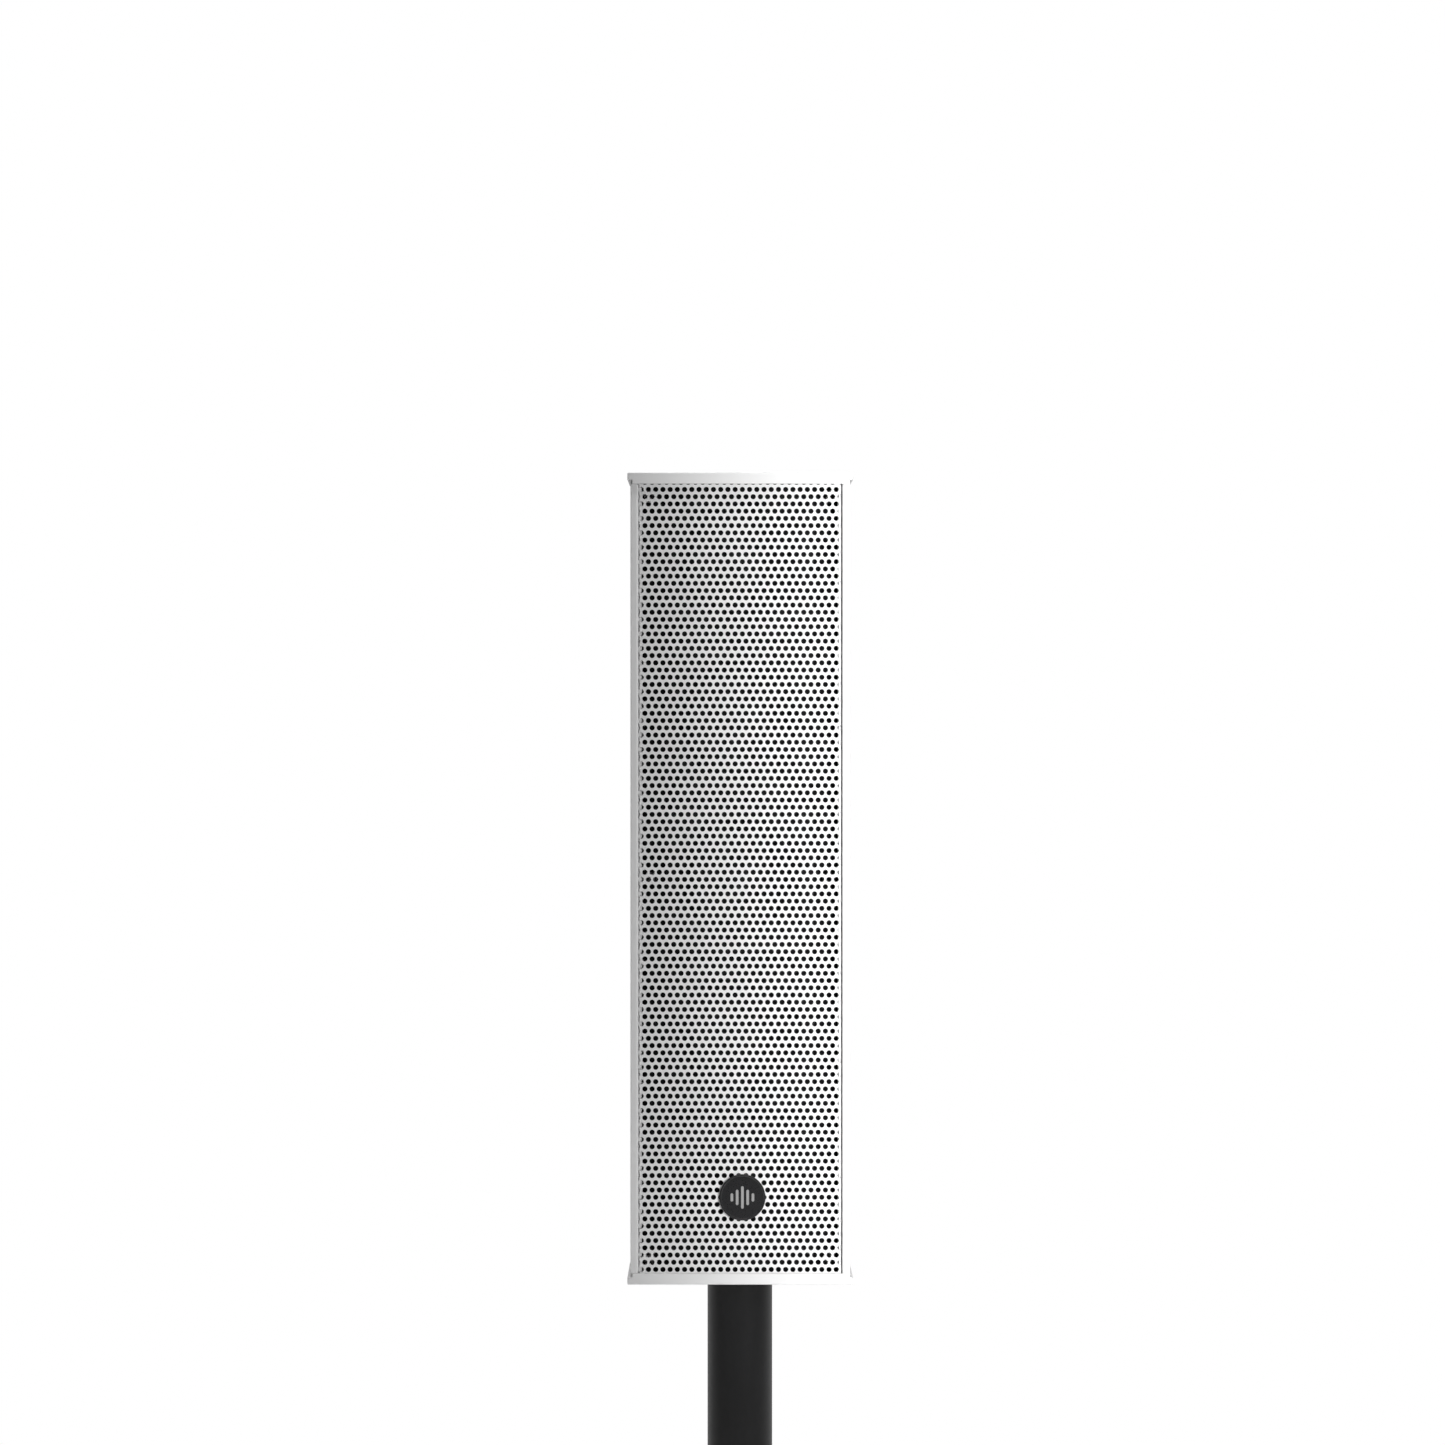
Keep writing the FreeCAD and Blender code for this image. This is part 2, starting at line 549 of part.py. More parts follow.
def driver_basket(z):
    """Pressed frame: square flange, bowl with four windows, spider shelf and floor ring."""
    face, floor = FRAME_FACE, FRAME_FACE + FLOOR_DEPTH
    half = FRAME_SIZE / 2
    flange = plate_y(half, z - half, z + half, FRAME_CORNER, face, BAFFLE_FRONT)
    flange = flange.cut(rod_y(ROLL_CENTRE + ROLL_RADIUS + 0.15, 0, z, face - 1, BAFFLE_FRONT + 1))
    inner = SHELF_INNER + 1.2
    bowl = turned([(BOWL_OUTER, BAFFLE_FRONT), (BOWL_OUTER, BAFFLE_FRONT + 4),
                   (BOWL_FLOOR_RADIUS, floor - 1), (BOWL_FLOOR_RADIUS, floor + FLOOR_THICKNESS),
                   (inner - 9, floor + FLOOR_THICKNESS), (inner - 9, floor), (SHELF_INNER, floor),
                   (SHELF_INNER, face + SHELF_DEPTH), (BOWL_FLOOR_RADIUS - BOWL_WALL + 0.6, face + SHELF_DEPTH),
                   (BOWL_OUTER - BOWL_WALL, BAFFLE_FRONT + 4), (BOWL_OUTER - BOWL_WALL, BAFFLE_FRONT)], z)
    low, high = BAFFLE_BACK + 1.5, face + SHELF_DEPTH - 2
    reach, side = BOWL_OUTER + 5, WINDOW_WIDTH / 2
    windows = [block(-reach, reach, low, high, z - side, z + side),
               block(-side, side, low, high, z - reach, z + reach)]
    holes = [rod_y(SMALL_SCREW + SCREW_CLEARANCE, x, hole_z, face - 1, BAFFLE_FRONT + 1)
             for x, hole_z in four(DRIVER_SCREW_SPREAD, DRIVER_SCREW_SPREAD, z)]
    return bowl.cut(windows).fuse(flange).cut(holes).removeSplitter()


def driver_magnet(z):
    """Top plate, ferrite ring and yoke with its pole piece, stacked behind the basket."""
    y0 = FRAME_FACE + FLOOR_DEPTH + FLOOR_THICKNESS
    y1, y2 = y0 + TOP_PLATE, y0 + TOP_PLATE + FERRITE
    bore = COIL_RADIUS + 1.1
    plate_radius = MAGNET_RADIUS - 2.0
    top_plate = turned([(bore, y0), (plate_radius, y0), (plate_radius, y1), (bore, y1)], z)
    ferrite = turned([(bore + 3, y1), (MAGNET_RADIUS, y1), (MAGNET_RADIUS, y2), (bore + 3, y2)], z)
    yoke = turned([(0, y0), (POLE_PIECE, y0), (POLE_PIECE, y2), (plate_radius, y2),
                   (plate_radius, y2 + BACK_PLATE), (0, y2 + BACK_PLATE)], z)
    return Part.makeCompound([top_plate, ferrite, yoke])


def driver_cone(z):
    """Paper cone with its dust cap, coil former and winding, which move as one piece."""
    rim, neck = FRAME_FACE + GLUE_LINE, FRAME_FACE + NECK_DEPTH
    gap_middle = FRAME_FACE + FLOOR_DEPTH + FLOOR_THICKNESS + TOP_PLATE / 2
    former_end = gap_middle + 5.5
    cap_radius = 12.5
    skin = 0.6
    paper = turned([(CONE_RADIUS, rim), (CONE_RADIUS, rim + skin), (CONE_RADIUS - 1.6, rim + skin),
                    (COIL_RADIUS, neck + skin), (COIL_RADIUS, neck - 1.2), (CONE_RADIUS - 1.9, rim)], z)
    former = turned([(COIL_RADIUS - 0.2, neck - 2.0), (COIL_RADIUS, neck - 2.0),
                     (COIL_RADIUS, gap_middle - 3.5), (COIL_RADIUS + 0.6, gap_middle - 3.5),
                     (COIL_RADIUS + 0.6, gap_middle + 3.5), (COIL_RADIUS, gap_middle + 3.5),
                     (COIL_RADIUS, former_end), (COIL_RADIUS - 0.2, former_end)], z)
    slope = (NECK_DEPTH - 1.2) / (CONE_RADIUS - 1.9 - COIL_RADIUS)
    seat = rim + (CONE_RADIUS - 1.9 - cap_radius) * slope
    rise = 4.2
    dome = rise / 2 + cap_radius ** 2 / (2 * rise)
    ball = Part.makeSphere(dome, V(0, seat - rise + dome, z))
    hollow = Part.makeSphere(dome - skin, V(0, seat - rise + dome, z))
    dust_cap = ball.cut(hollow).common(rod_y(cap_radius, 0, z, seat - rise - 1, seat + 0.2))
    return paper.fuse([former, dust_cap]).removeSplitter()


def driver_surround(z):
    """Half-roll rubber ring between the cone's rim and the frame."""
    face, back = FRAME_FACE - LIP_THICKNESS, FRAME_FACE
    inner_lip, outer_lip = CONE_RADIUS - 1.6, ROLL_CENTRE + ROLL_RADIUS + 2.5
    thin = ROLL_RADIUS - LIP_THICKNESS

    def at(r, y):
        return V(r, y, z)

    left, right = ROLL_CENTRE - ROLL_RADIUS, ROLL_CENTRE + ROLL_RADIUS
    edges = [Part.makeLine(at(inner_lip, face), at(left, face)),
             Part.Arc(at(left, face), at(ROLL_CENTRE, face - ROLL_RADIUS), at(right, face)).toShape(),
             Part.makeLine(at(right, face), at(outer_lip, face)),
             Part.makeLine(at(outer_lip, face), at(outer_lip, back)),
             Part.makeLine(at(outer_lip, back), at(ROLL_CENTRE + thin, back)),
             Part.makeLine(at(ROLL_CENTRE + thin, back), at(ROLL_CENTRE + thin, face)),
             Part.Arc(at(ROLL_CENTRE + thin, face), at(ROLL_CENTRE, face - thin),
                      at(ROLL_CENTRE - thin, face)).toShape(),
             Part.makeLine(at(ROLL_CENTRE - thin, face), at(ROLL_CENTRE - thin, back)),
             Part.makeLine(at(ROLL_CENTRE - thin, back), at(inner_lip, back)),
             Part.makeLine(at(inner_lip, back), at(inner_lip, face))]
    return Part.Face(Part.Wire(edges)).revolve(V(0, 0, z), V(0, 1, 0), 360)


def driver_spider(z):
    """Corrugated cloth disc between the coil former and the basket's shelf."""
    seat = FRAME_FACE + SHELF_DEPTH
    first, last, waves, cloth, height = COIL_RADIUS + GLUE_LINE, SHELF_INNER + 0.6, 5, 0.5, 0.8
    step = (last - first) / (2 * waves)
    ridge = [(first + i * step, seat - cloth - (height if i % 2 else 0.0)) for i in range(2 * waves + 1)]
    front = ridge + [(last + 3.4, seat - cloth)]
    back = [(r, y + cloth) for r, y in reversed(front)]
    return turned(front + back, z)


# ---- Input module at the back ----
HEADER_Z = INPUT_Z + 22.0
HEADER_HALF_WIDTH = 13.0
HEADER_HALF_HEIGHT = 6.0
HEADER_WALL = 1.0
PLUG_OUT = 11.0
PLUG_IN = 8.0
BOARD_BACK = INPUT_BACK - 14.8
BOARD_THICKNESS = 1.6
BOARD_HALF_WIDTH = 25.0
BOARD_HALF_HEIGHT = 38.0
PIN_HALF = 0.5
PIN_HOLE = 0.9
TAP_Z = INPUT_Z - 18.0
TAP_BUSHING = 4.5
TAP_SHAFT = 3.0


def input_screw_places():
    margin = 4.5
    return four(INPUT_WIDTH / 2 - margin, INPUT_HEIGHT / 2 - margin, INPUT_Z)


def standoff_places():
    return four(BOARD_HALF_WIDTH - 4, BOARD_HALF_HEIGHT - 4, INPUT_Z)


def header_block(half_width, half_height, y0, y1):
    return block(-half_width, half_width, y0, y1, HEADER_Z - half_height, HEADER_Z + half_height)


def input_plate():
    plate = plate_y(INPUT_WIDTH / 2, INPUT_Z - INPUT_HEIGHT / 2, INPUT_Z + INPUT_HEIGHT / 2, 5.0,
                    BACK + INPUT_GASKET, INPUT_BACK)
    cuts = [header_block(HEADER_HALF_WIDTH + LOCATING, HEADER_HALF_HEIGHT + LOCATING, BACK, INPUT_BACK + 1),
            rod_y(TAP_BUSHING + LOCATING, 0, TAP_Z, BACK, INPUT_BACK + 1)]
    cuts += [rod_y(SMALL_SCREW + SCREW_CLEARANCE, x, z, BACK, INPUT_BACK + 1)
             for x, z in input_screw_places()]
    cuts += [rod_y(SMALL_SCREW, x, z, BACK, INPUT_BACK + 1) for x, z in standoff_places()]
    return plate.cut(cuts)


def input_plate_gasket():
    low, high = INPUT_Z - INPUT_HEIGHT / 2, INPUT_Z + INPUT_HEIGHT / 2
    ring = plate_y(INPUT_WIDTH / 2, low, high, 5.0, BACK, BACK + INPUT_GASKET)
    opening = plate_y(INPUT_WIDTH / 2 - INPUT_LAP, low + INPUT_LAP, high - INPUT_LAP, 3.0, BACK - 1,
                      BACK + INPUT_GASKET + 1)
    holes = [rod_y(SMALL_SCREW + SCREW_CLEARANCE, x, z, BACK - 1, BACK + 2) for x, z in input_screw_places()]
    return ring.cut([opening] + holes)


def input_plate_screws():
    length = INPUT_THICKNESS + INPUT_GASKET + WALL + 3.0
    return Part.makeCompound([pan_screw(SMALL_SCREW, 3.0, 2.0, length, x, z, INPUT_BACK, 1)
                              for x, z in input_screw_places()])


def board_standoffs():
    posts = []
    for x, z in standoff_places():
        post = rod_y(3.0, x, z, BOARD_BACK, BACK + INPUT_GASKET)
        stud = rod_y(SMALL_SCREW, x, z, BOARD_BACK - BOARD_THICKNESS - 1.5, INPUT_BACK)
        posts.append(post.fuse(stud).removeSplitter())
    return Part.makeCompound(posts)


def filter_board():
    board = plate_y(BOARD_HALF_WIDTH, INPUT_Z - BOARD_HALF_HEIGHT, INPUT_Z + BOARD_HALF_HEIGHT, 2.0,
                    BOARD_BACK - BOARD_THICKNESS, BOARD_BACK)
    holes = [rod_y(SMALL_SCREW, x, z, BOARD_BACK - 3, BOARD_BACK + 1) for x, z in standoff_places()]
    holes += [rod_y(PIN_HOLE, x, HEADER_Z, BOARD_BACK - 3, BOARD_BACK + 1) for x in terminal_places()]
    return board.cut(holes)


def filter_coil():
    """Air-core coil on its flanged bobbin, lying on the board."""
    y1 = BOARD_BACK - BOARD_THICKNESS
    y0 = y1 - 14.0
    return turned([(5.0, y0), (14.0, y0), (14.0, y0 + 1.2), (12.5, y0 + 1.2), (12.5, y1 - 1.2),
                   (14.0, y1 - 1.2), (14.0, y1), (5.0, y1)], INPUT_Z - 17, 6.0)


def filter_capacitors():
    y = BOARD_BACK - BOARD_THICKNESS - 6.0
    cans = [rod(6.0, V(-16, y, INPUT_Z + lift), V(14, y, INPUT_Z + lift)) for lift in (8, 31.5)]
    return Part.makeCompound([can.makeFillet(0.8, [e for e in can.Edges if isinstance(e.Curve, Part.Circle)])
                              for can in cans])


def terminal_header():
    """Open box on the board that the plug goes into, with its row of pins."""
    y1 = INPUT_BACK + 0.6
    shell = header_block(HEADER_HALF_WIDTH, HEADER_HALF_HEIGHT, BOARD_BACK, y1)
    hollow = header_block(HEADER_HALF_WIDTH - HEADER_WALL, HEADER_HALF_HEIGHT - HEADER_WALL,
                          y1 - PLUG_IN - 1.0, y1 + 1)
    pins = [block(x - PIN_HALF, x + PIN_HALF, BOARD_BACK - 3, y1 - 2.5,
                  HEADER_Z - PIN_HALF, HEADER_Z + PIN_HALF)
            for x in terminal_places()]
    return shell.cut(hollow).fuse(pins).removeSplitter()


def terminal_places():
    spacing = 5.08
    return [(i - 1.5) * spacing for i in range(4)]


def terminal_plug():
    """Removable plug: body with pin sockets, wire holes and four clamp screws."""
    face = INPUT_BACK + 0.6
    fit = HEADER_WALL + LOCATING
    inner = header_block(HEADER_HALF_WIDTH - fit, HEADER_HALF_HEIGHT - fit, face - PLUG_IN, face + 1)
    outer = header_block(HEADER_HALF_WIDTH - fit, HEADER_HALF_HEIGHT + 1.5, face + 0.4, face + PLUG_OUT)
    lip = [e for e in outer.Edges if e.BoundBox.YMin > face + PLUG_OUT - 0.01]
    body = outer.makeChamfer(0.6, lip).fuse(inner)
    cuts, screws = [], []
    for x in terminal_places():
        cuts.append(block(x - 0.9, x + 0.9, face - PLUG_IN - 1, face - 1.5, HEADER_Z - 0.9, HEADER_Z + 0.9))
        cuts.append(block(x - 1.6, x + 1.6, face + PLUG_OUT - 6, face + PLUG_OUT + 1,
                          HEADER_Z - 4.5, HEADER_Z - 1.3))
        top = HEADER_Z + HEADER_HALF_HEIGHT + 1.5
        cuts.append(rod_z(1.7, x, face + 4.5, top - 2.5, top + 1))
        screw = rod_z(1.6, x, face + 4.5, top - 2.5, top - 0.7)
        screws.append(screw.cut(block(x - 2, x + 2, face + 4.2, face + 4.8, top - 1.3, top)))
    return Part.makeCompound([body.cut(cuts).removeSplitter()] + screws)


def tap_switch():
    """Rotary switch on the board, with its bushing through the plate."""
    body = block(-11, 11, BOARD_BACK, BACK + INPUT_GASKET - 1.0, TAP_Z - 11, TAP_Z + 11)
    bushing = rod_y(TAP_BUSHING, 0, TAP_Z, BACK + INPUT_GASKET - 1.1, INPUT_BACK + 1.2)
    bore = rod_y(TAP_SHAFT + RUNNING, 0, TAP_Z, BOARD_BACK + 3.0, INPUT_BACK + 2)
    return body.fuse(bushing).cut(bore).removeSplitter()


def tap_knob():
    """Knob with its spindle, a pointer rib and a fluted skirt."""
    face = INPUT_BACK + 1.2 + LOCATING
    spindle = rod_y(TAP_SHAFT, 0, TAP_Z, BOARD_BACK + 3.4, face + 1)
    knob = turned([(0, face), (8.5, face), (8.5, face + 2.2), (7.0, face + 3.0), (6.4, face + 11.5),
                   (5.6, face + 12.0), (0, face + 12.0)], TAP_Z)
    flutes = []
    for i in range(12):
        angle = math.radians(15 + 30 * i)
        x, z = 7.6 * math.cos(angle), TAP_Z + 7.6 * math.sin(angle)
        flutes.append(rod_y(1.0, x, z, face + 2.2, face + 13))
    pointer = block(-0.6, 0.6, face + 11.5, face + 12.6, TAP_Z, TAP_Z + 5.4)
    return knob.cut(flutes).fuse([spindle, pointer]).removeSplitter()


# ---- Transformer and bracket inserts ----
CORE_HALF_WIDTH = 24.0
CORE_HALF_HEIGHT = 20.0
CORE_FRONT = BACK_INSIDE - 22.0
CORE_DEPTH = 16.0
FOOT_REACH = 12.0
FOOT_THICKNESS = 2.0
INSERT_BODY_RADIUS = 4.5
INSERT_FLANGE_RADIUS = 6.5


def transformer_places():
    return [(side * (CORE_HALF_WIDTH + 8.0), TRANSFORMER_Z) for side in (-1, 1)]


def transformer_core():
    """Stack of E and I laminations with two windows for the winding."""
    core = block(-CORE_HALF_WIDTH, CORE_HALF_WIDTH, CORE_FRONT, CORE_FRONT + CORE_DEPTH,
                 TRANSFORMER_Z - CORE_HALF_HEIGHT, TRANSFORMER_Z + CORE_HALF_HEIGHT)
    third = CORE_HALF_WIDTH / 3
    windows = [block(side * 1.5 * third - third / 2, side * 1.5 * third + third / 2, CORE_FRONT - 1,
                     CORE_FRONT + CORE_DEPTH + 1, TRANSFORMER_Z - CORE_HALF_HEIGHT + third,
                     TRANSFORMER_Z + CORE_HALF_HEIGHT - third) for side in (-1, 1)]
    return core.cut(windows)


def transformer_winding():
    """Bobbin winding around the core's middle leg."""
    third = CORE_HALF_WIDTH / 3
    gap = 0.2
    half_height = CORE_HALF_HEIGHT - third - gap
    outer = block(-2 * third + gap, 2 * third - gap, CORE_FRONT - 5, CORE_FRONT + CORE_DEPTH + 5,
                  TRANSFORMER_Z - half_height, TRANSFORMER_Z + half_height)
    upright = [e for e in outer.Edges if e.BoundBox.ZLength > 1]
    outer = outer.makeFillet(4.0, upright)
    leg = block(-third - gap, third + gap, CORE_FRONT - gap, CORE_FRONT + CORE_DEPTH + gap,
                TRANSFORMER_Z - CORE_HALF_HEIGHT, TRANSFORMER_Z + CORE_HALF_HEIGHT)
    return outer.cut(leg)


def transformer_brackets():
    """Two steel angles from the core's sides to the back wall."""
    sides = []
    for side in (-1, 1):
        x_core, x_leg = side * CORE_HALF_WIDTH, side * (CORE_HALF_WIDTH + FOOT_THICKNESS)
        x_foot = side * (CORE_HALF_WIDTH + FOOT_REACH)
        leg = block(min(x_core, x_leg), max(x_core, x_leg), CORE_FRONT, BACK_INSIDE,
                    TRANSFORMER_Z - 12, TRANSFORMER_Z + 12)
        foot = block(min(x_core, x_foot), max(x_core, x_foot), BACK_INSIDE - FOOT_THICKNESS, BACK_INSIDE,
                     TRANSFORMER_Z - 12, TRANSFORMER_Z + 12)
        sides.append(leg.fuse(foot).removeSplitter())
    holes = [rod_y(SMALL_SCREW, x, z, BACK_INSIDE - 5, BACK_INSIDE + 1) for x, z in transformer_places()]
    return Part.makeCompound([side.cut(holes) for side in sides])


def transformer_screws():
    return Part.makeCompound([pan_screw(SMALL_SCREW, 3.6, 2.2, WALL + FOOT_THICKNESS + 4, x, z, BACK, 1)
                              for x, z in transformer_places()])


def insert_places():
    return four(BRACKET_SPREAD_X, BRACKET_SPREAD_Z, BRACKET_Z)


def bracket_inserts():
    """Threaded rivet inserts for a wall bracket, with their threads as plain bores."""
    inserts = []
    for x, z in insert_places():
        flange = rod_y(INSERT_FLANGE_RADIUS, x, z, BACK, BACK + 0.8)
        body = rod_y(INSERT_BODY_RADIUS, x, z, BACK - 12, BACK)
        bulge = rod_y(INSERT_BODY_RADIUS + 1.2, x, z, BACK_INSIDE - 2.5, BACK_INSIDE)
        insert = flange.fuse([body, bulge])
        inserts.append(insert.cut(rod_y(INSERT_BORE_RADIUS, x, z, BACK - 13, BACK + 1)).removeSplitter())
    return Part.makeCompound(inserts)


# ---- Pole, cup and clamp ----
PLUG_DEPTH = 18.0
FOOT_PLUG_FACE = 3.0
CUP_SCREW_RADIUS = 2.0
CUP_SCREW_HEAD = 4.0
BOSS_RADIUS = 8.0
PAD_THICKNESS = 1.8
PAD_RADIUS = 3.8
ROOF_GAP = 0.2


def pole_tube():
    """Drawn tube whose upper end is turned down to a spigot that goes into the cup."""
    bore, shoulder = POLE_RADIUS - POLE_WALL, BOTTOM - SHOULDER_GAP
    return turned_z([(bore, 0), (POLE_RADIUS, 0), (POLE_RADIUS, shoulder),
                     (SPIGOT_RADIUS, shoulder), (SPIGOT_RADIUS, SPIGOT_TOP - 1.0),
                     (SPIGOT_RADIUS - 1.0, SPIGOT_TOP), (bore, SPIGOT_TOP)])


def pole_top_plug():
    """Nylon plug in the spigot's end, which carries the cabinet on its flat crown."""
    bore = POLE_RADIUS - POLE_WALL
    crown = cup_roof_inside() - ROOF_GAP
    return turned_z([(bore - 2, SPIGOT_TOP - PLUG_DEPTH), (bore, SPIGOT_TOP - PLUG_DEPTH), (bore, SPIGOT_TOP),
                     (SPIGOT_RADIUS - 1.0, SPIGOT_TOP), (SPIGOT_RADIUS - 1.0, crown - 1.0),
                     (SPIGOT_RADIUS - 2.0, crown), (0, crown), (0, SPIGOT_TOP - 2), (bore - 2, SPIGOT_TOP - 2)])


def pole_foot_plug():
    """Nylon plug that closes the tube's lower end, set in flush."""
    bore = POLE_RADIUS - POLE_WALL
    return turned_z([(0, 0.5), (bore, 0.5), (bore, PLUG_DEPTH), (bore - 2, PLUG_DEPTH),
                     (bore - 2, FOOT_PLUG_FACE), (0, FOOT_PLUG_FACE)])


def cup_roof_inside():
    return SPIGOT_TOP + 3.0


def cup_screw_places():
    reach = (CUP_RADIUS + CUP_FLANGE_REACH / 2) * math.sqrt(0.5)
    return [(sx * reach, sy * reach) for sx in (-1, 1) for sy in (-1, 1)]


def pole_cup():
    """Cast cup on the bottom cap, closed at its top, with a boss for the clamp screw."""
    floor, roof = BODY_BOTTOM, cup_roof_inside()
    cup = turned_z([(BUSH_RADIUS, floor), (CUP_FLANGE_RADIUS, floor),
                    (CUP_FLANGE_RADIUS, floor + CUP_FLANGE_THICKNESS),
                    (CUP_RADIUS + 1.5, floor + CUP_FLANGE_THICKNESS),
                    (CUP_RADIUS, floor + CUP_FLANGE_THICKNESS + 1.5), (CUP_RADIUS, roof + CUP_ROOF - 1),
                    (CUP_RADIUS - 1, roof + CUP_ROOF), (0, roof + CUP_ROOF), (0, roof), (BUSH_RADIUS, roof)])
    boss = rod_y(BOSS_RADIUS, 0, CLAMP_Z, BUSH_RADIUS + 0.5, BACK_INSIDE - 1.0)
    boss = boss.cut(rod_z(BUSH_RADIUS, 0, 0, floor, roof))
    holes = [rod_z(CUP_SCREW_RADIUS, x, y, floor - 1, floor + CUP_FLANGE_THICKNESS + 1)
             for x, y in cup_screw_places()]
    holes.append(rod_y(CLAMP_STUD_RADIUS + THREAD_FIT, 0, CLAMP_Z, 0, BACK))
    return cup.fuse(boss).cut(holes).removeSplitter()


def cup_bush():
    """Nylon lining of the cup, with a hole for the clamp pad."""
    inner = SPIGOT_RADIUS + RUNNING
    bush = turned_z([(inner, BOTTOM), (BUSH_RADIUS, BOTTOM), (BUSH_RADIUS, SPIGOT_TOP), (inner, SPIGOT_TOP)])
    return bush.cut(rod_y(CLAMP_STUD_RADIUS + THREAD_FIT + 0.2, 0, CLAMP_Z, 5, BUSH_RADIUS + 1))


def cup_screws():
    return Part.makeCompound([countersunk(x, y, BOTTOM, 1, CUP_SCREW_RADIUS, CUP_SCREW_HEAD,
                                          CAP_THICKNESS + CUP_FLANGE_THICKNESS + 1.5)
                              for x, y in cup_screw_places()])


def pad_back():
    return SPIGOT_RADIUS + LOCATING + PAD_THICKNESS


def clamp_pad():
    """Nylon pad on the tip of the clamp screw, which presses on the spigot."""
    return rod_y(PAD_RADIUS, 0, CLAMP_Z, SPIGOT_RADIUS + LOCATING, pad_back())


def clamp_knob():
    """Five-lobed knob moulded on a steel stud."""
    face = BACK + 1.0
    stud = rod_y(CLAMP_STUD_RADIUS, 0, CLAMP_Z, pad_back(), face + 2)
    hub = turned([(0, face), (9.0, face), (9.5, face + 4), (KNOB_RADIUS, face + 5), (KNOB_RADIUS, face + 15),
                  (KNOB_RADIUS - 2, face + 17), (0, face + 17.5)], CLAMP_Z)
    scallops = []
    for i in range(5):
        angle = math.radians(36 + 72 * i)
        x, z = (KNOB_RADIUS + 3.5) * math.cos(angle), CLAMP_Z + (KNOB_RADIUS + 3.5) * math.sin(angle)
        scallops.append(rod_y(7.0, x, z, face + 4, face + 19))
    return hub.cut(scallops).fuse(stud).removeSplitter()


# ---- Write every piece ----
SINGLE_PIECES = [cabinet_extrusion, top_cap, bottom_cap, cap_gaskets, cap_screws, front_grille, badge,
                 baffle, baffle_gasket, baffle_screws, driver_screws, filter_board, filter_coil,
                 filter_capacitors, board_standoffs, transformer_core, transformer_winding,
                 transformer_brackets, transformer_screws, input_plate, input_plate_gasket,
                 input_plate_screws, terminal_header, terminal_plug, tap_switch, tap_knob,
                 bracket_inserts, pole_tube, pole_top_plug, pole_foot_plug, pole_cup, cup_bush,
                 cup_screws, clamp_knob, clamp_pad]
DRIVER_PIECES = {"basket": driver_basket, "magnet": driver_magnet, "cone": driver_cone,
                 "surround": driver_surround, "spider": driver_spider}

pieces = {make.__name__: make() for make in SINGLE_PIECES}
for number, height in enumerate(DRIVER_HEIGHTS, start=1):
    for name, make in DRIVER_PIECES.items():
        pieces[f"driver_{number}_{name}"] = make(height)

for name, shape in pieces.items():
    shape.exportStep(f"parts/{name}.step")
    solids = shape.Solids
    print(f"{name}: {len(solids)} solids, {shape.Volume:.0f} mm3, valid {shape.isValid()}")
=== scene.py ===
import math

import bpy
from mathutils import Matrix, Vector


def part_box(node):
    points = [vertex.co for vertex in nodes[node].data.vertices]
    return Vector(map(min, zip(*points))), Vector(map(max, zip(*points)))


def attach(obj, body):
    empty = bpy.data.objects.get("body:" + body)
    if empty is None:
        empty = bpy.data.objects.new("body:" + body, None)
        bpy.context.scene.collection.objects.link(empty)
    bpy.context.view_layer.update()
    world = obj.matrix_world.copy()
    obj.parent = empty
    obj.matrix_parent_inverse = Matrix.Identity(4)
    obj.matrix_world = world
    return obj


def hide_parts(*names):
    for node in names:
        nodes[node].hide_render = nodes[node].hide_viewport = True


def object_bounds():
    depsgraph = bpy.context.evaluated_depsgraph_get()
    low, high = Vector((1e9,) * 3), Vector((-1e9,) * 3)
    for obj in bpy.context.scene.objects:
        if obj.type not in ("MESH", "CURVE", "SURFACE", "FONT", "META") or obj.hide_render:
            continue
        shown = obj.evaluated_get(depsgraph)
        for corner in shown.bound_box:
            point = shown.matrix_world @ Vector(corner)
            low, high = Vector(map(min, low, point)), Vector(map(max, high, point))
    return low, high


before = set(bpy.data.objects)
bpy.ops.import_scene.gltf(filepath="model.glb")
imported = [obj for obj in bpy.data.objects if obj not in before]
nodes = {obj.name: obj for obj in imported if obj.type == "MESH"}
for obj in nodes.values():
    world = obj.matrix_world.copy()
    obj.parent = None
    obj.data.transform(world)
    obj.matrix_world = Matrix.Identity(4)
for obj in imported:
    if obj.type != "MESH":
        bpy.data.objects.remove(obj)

cad_low, cad_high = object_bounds()
MM = 0.001

# ---- Pole ----
# A drawn steel tube of 35 mm with satin black powder coat. Its upper end is turned down to a spigot
# that stands in the cabinet's cup, and a nylon plug closes each end.
POLE_BLACK = (0.012, 0.012, 0.0125)
NYLON_BLACK = (0.022, 0.022, 0.023)
CLOUD = 28 * MM             # across the patches of slightly different colour in any finish
WEAR_PATCH = 4 * MM         # across the patches of an edge that are worn more or less
WORN_EDGE = 0.80            # cosine of rounded to flat normal where an edge is fully worn
WHOLE_FACE = 0.99           # and where none of the face is
BEVEL_RAYS = 4


def link(tree, source, target):
    """Joins one node's output to another's input."""
    tree.links.new(source, target)


def shader_node(tree, kind, **settings):
    """A shader node with its properties and its unlinked inputs set by name."""
    made = tree.nodes.new(kind)
    for key, value in settings.items():
        if key in made.inputs:
            made.inputs[key].default_value = value
        else:
            setattr(made, key, value)
    return made


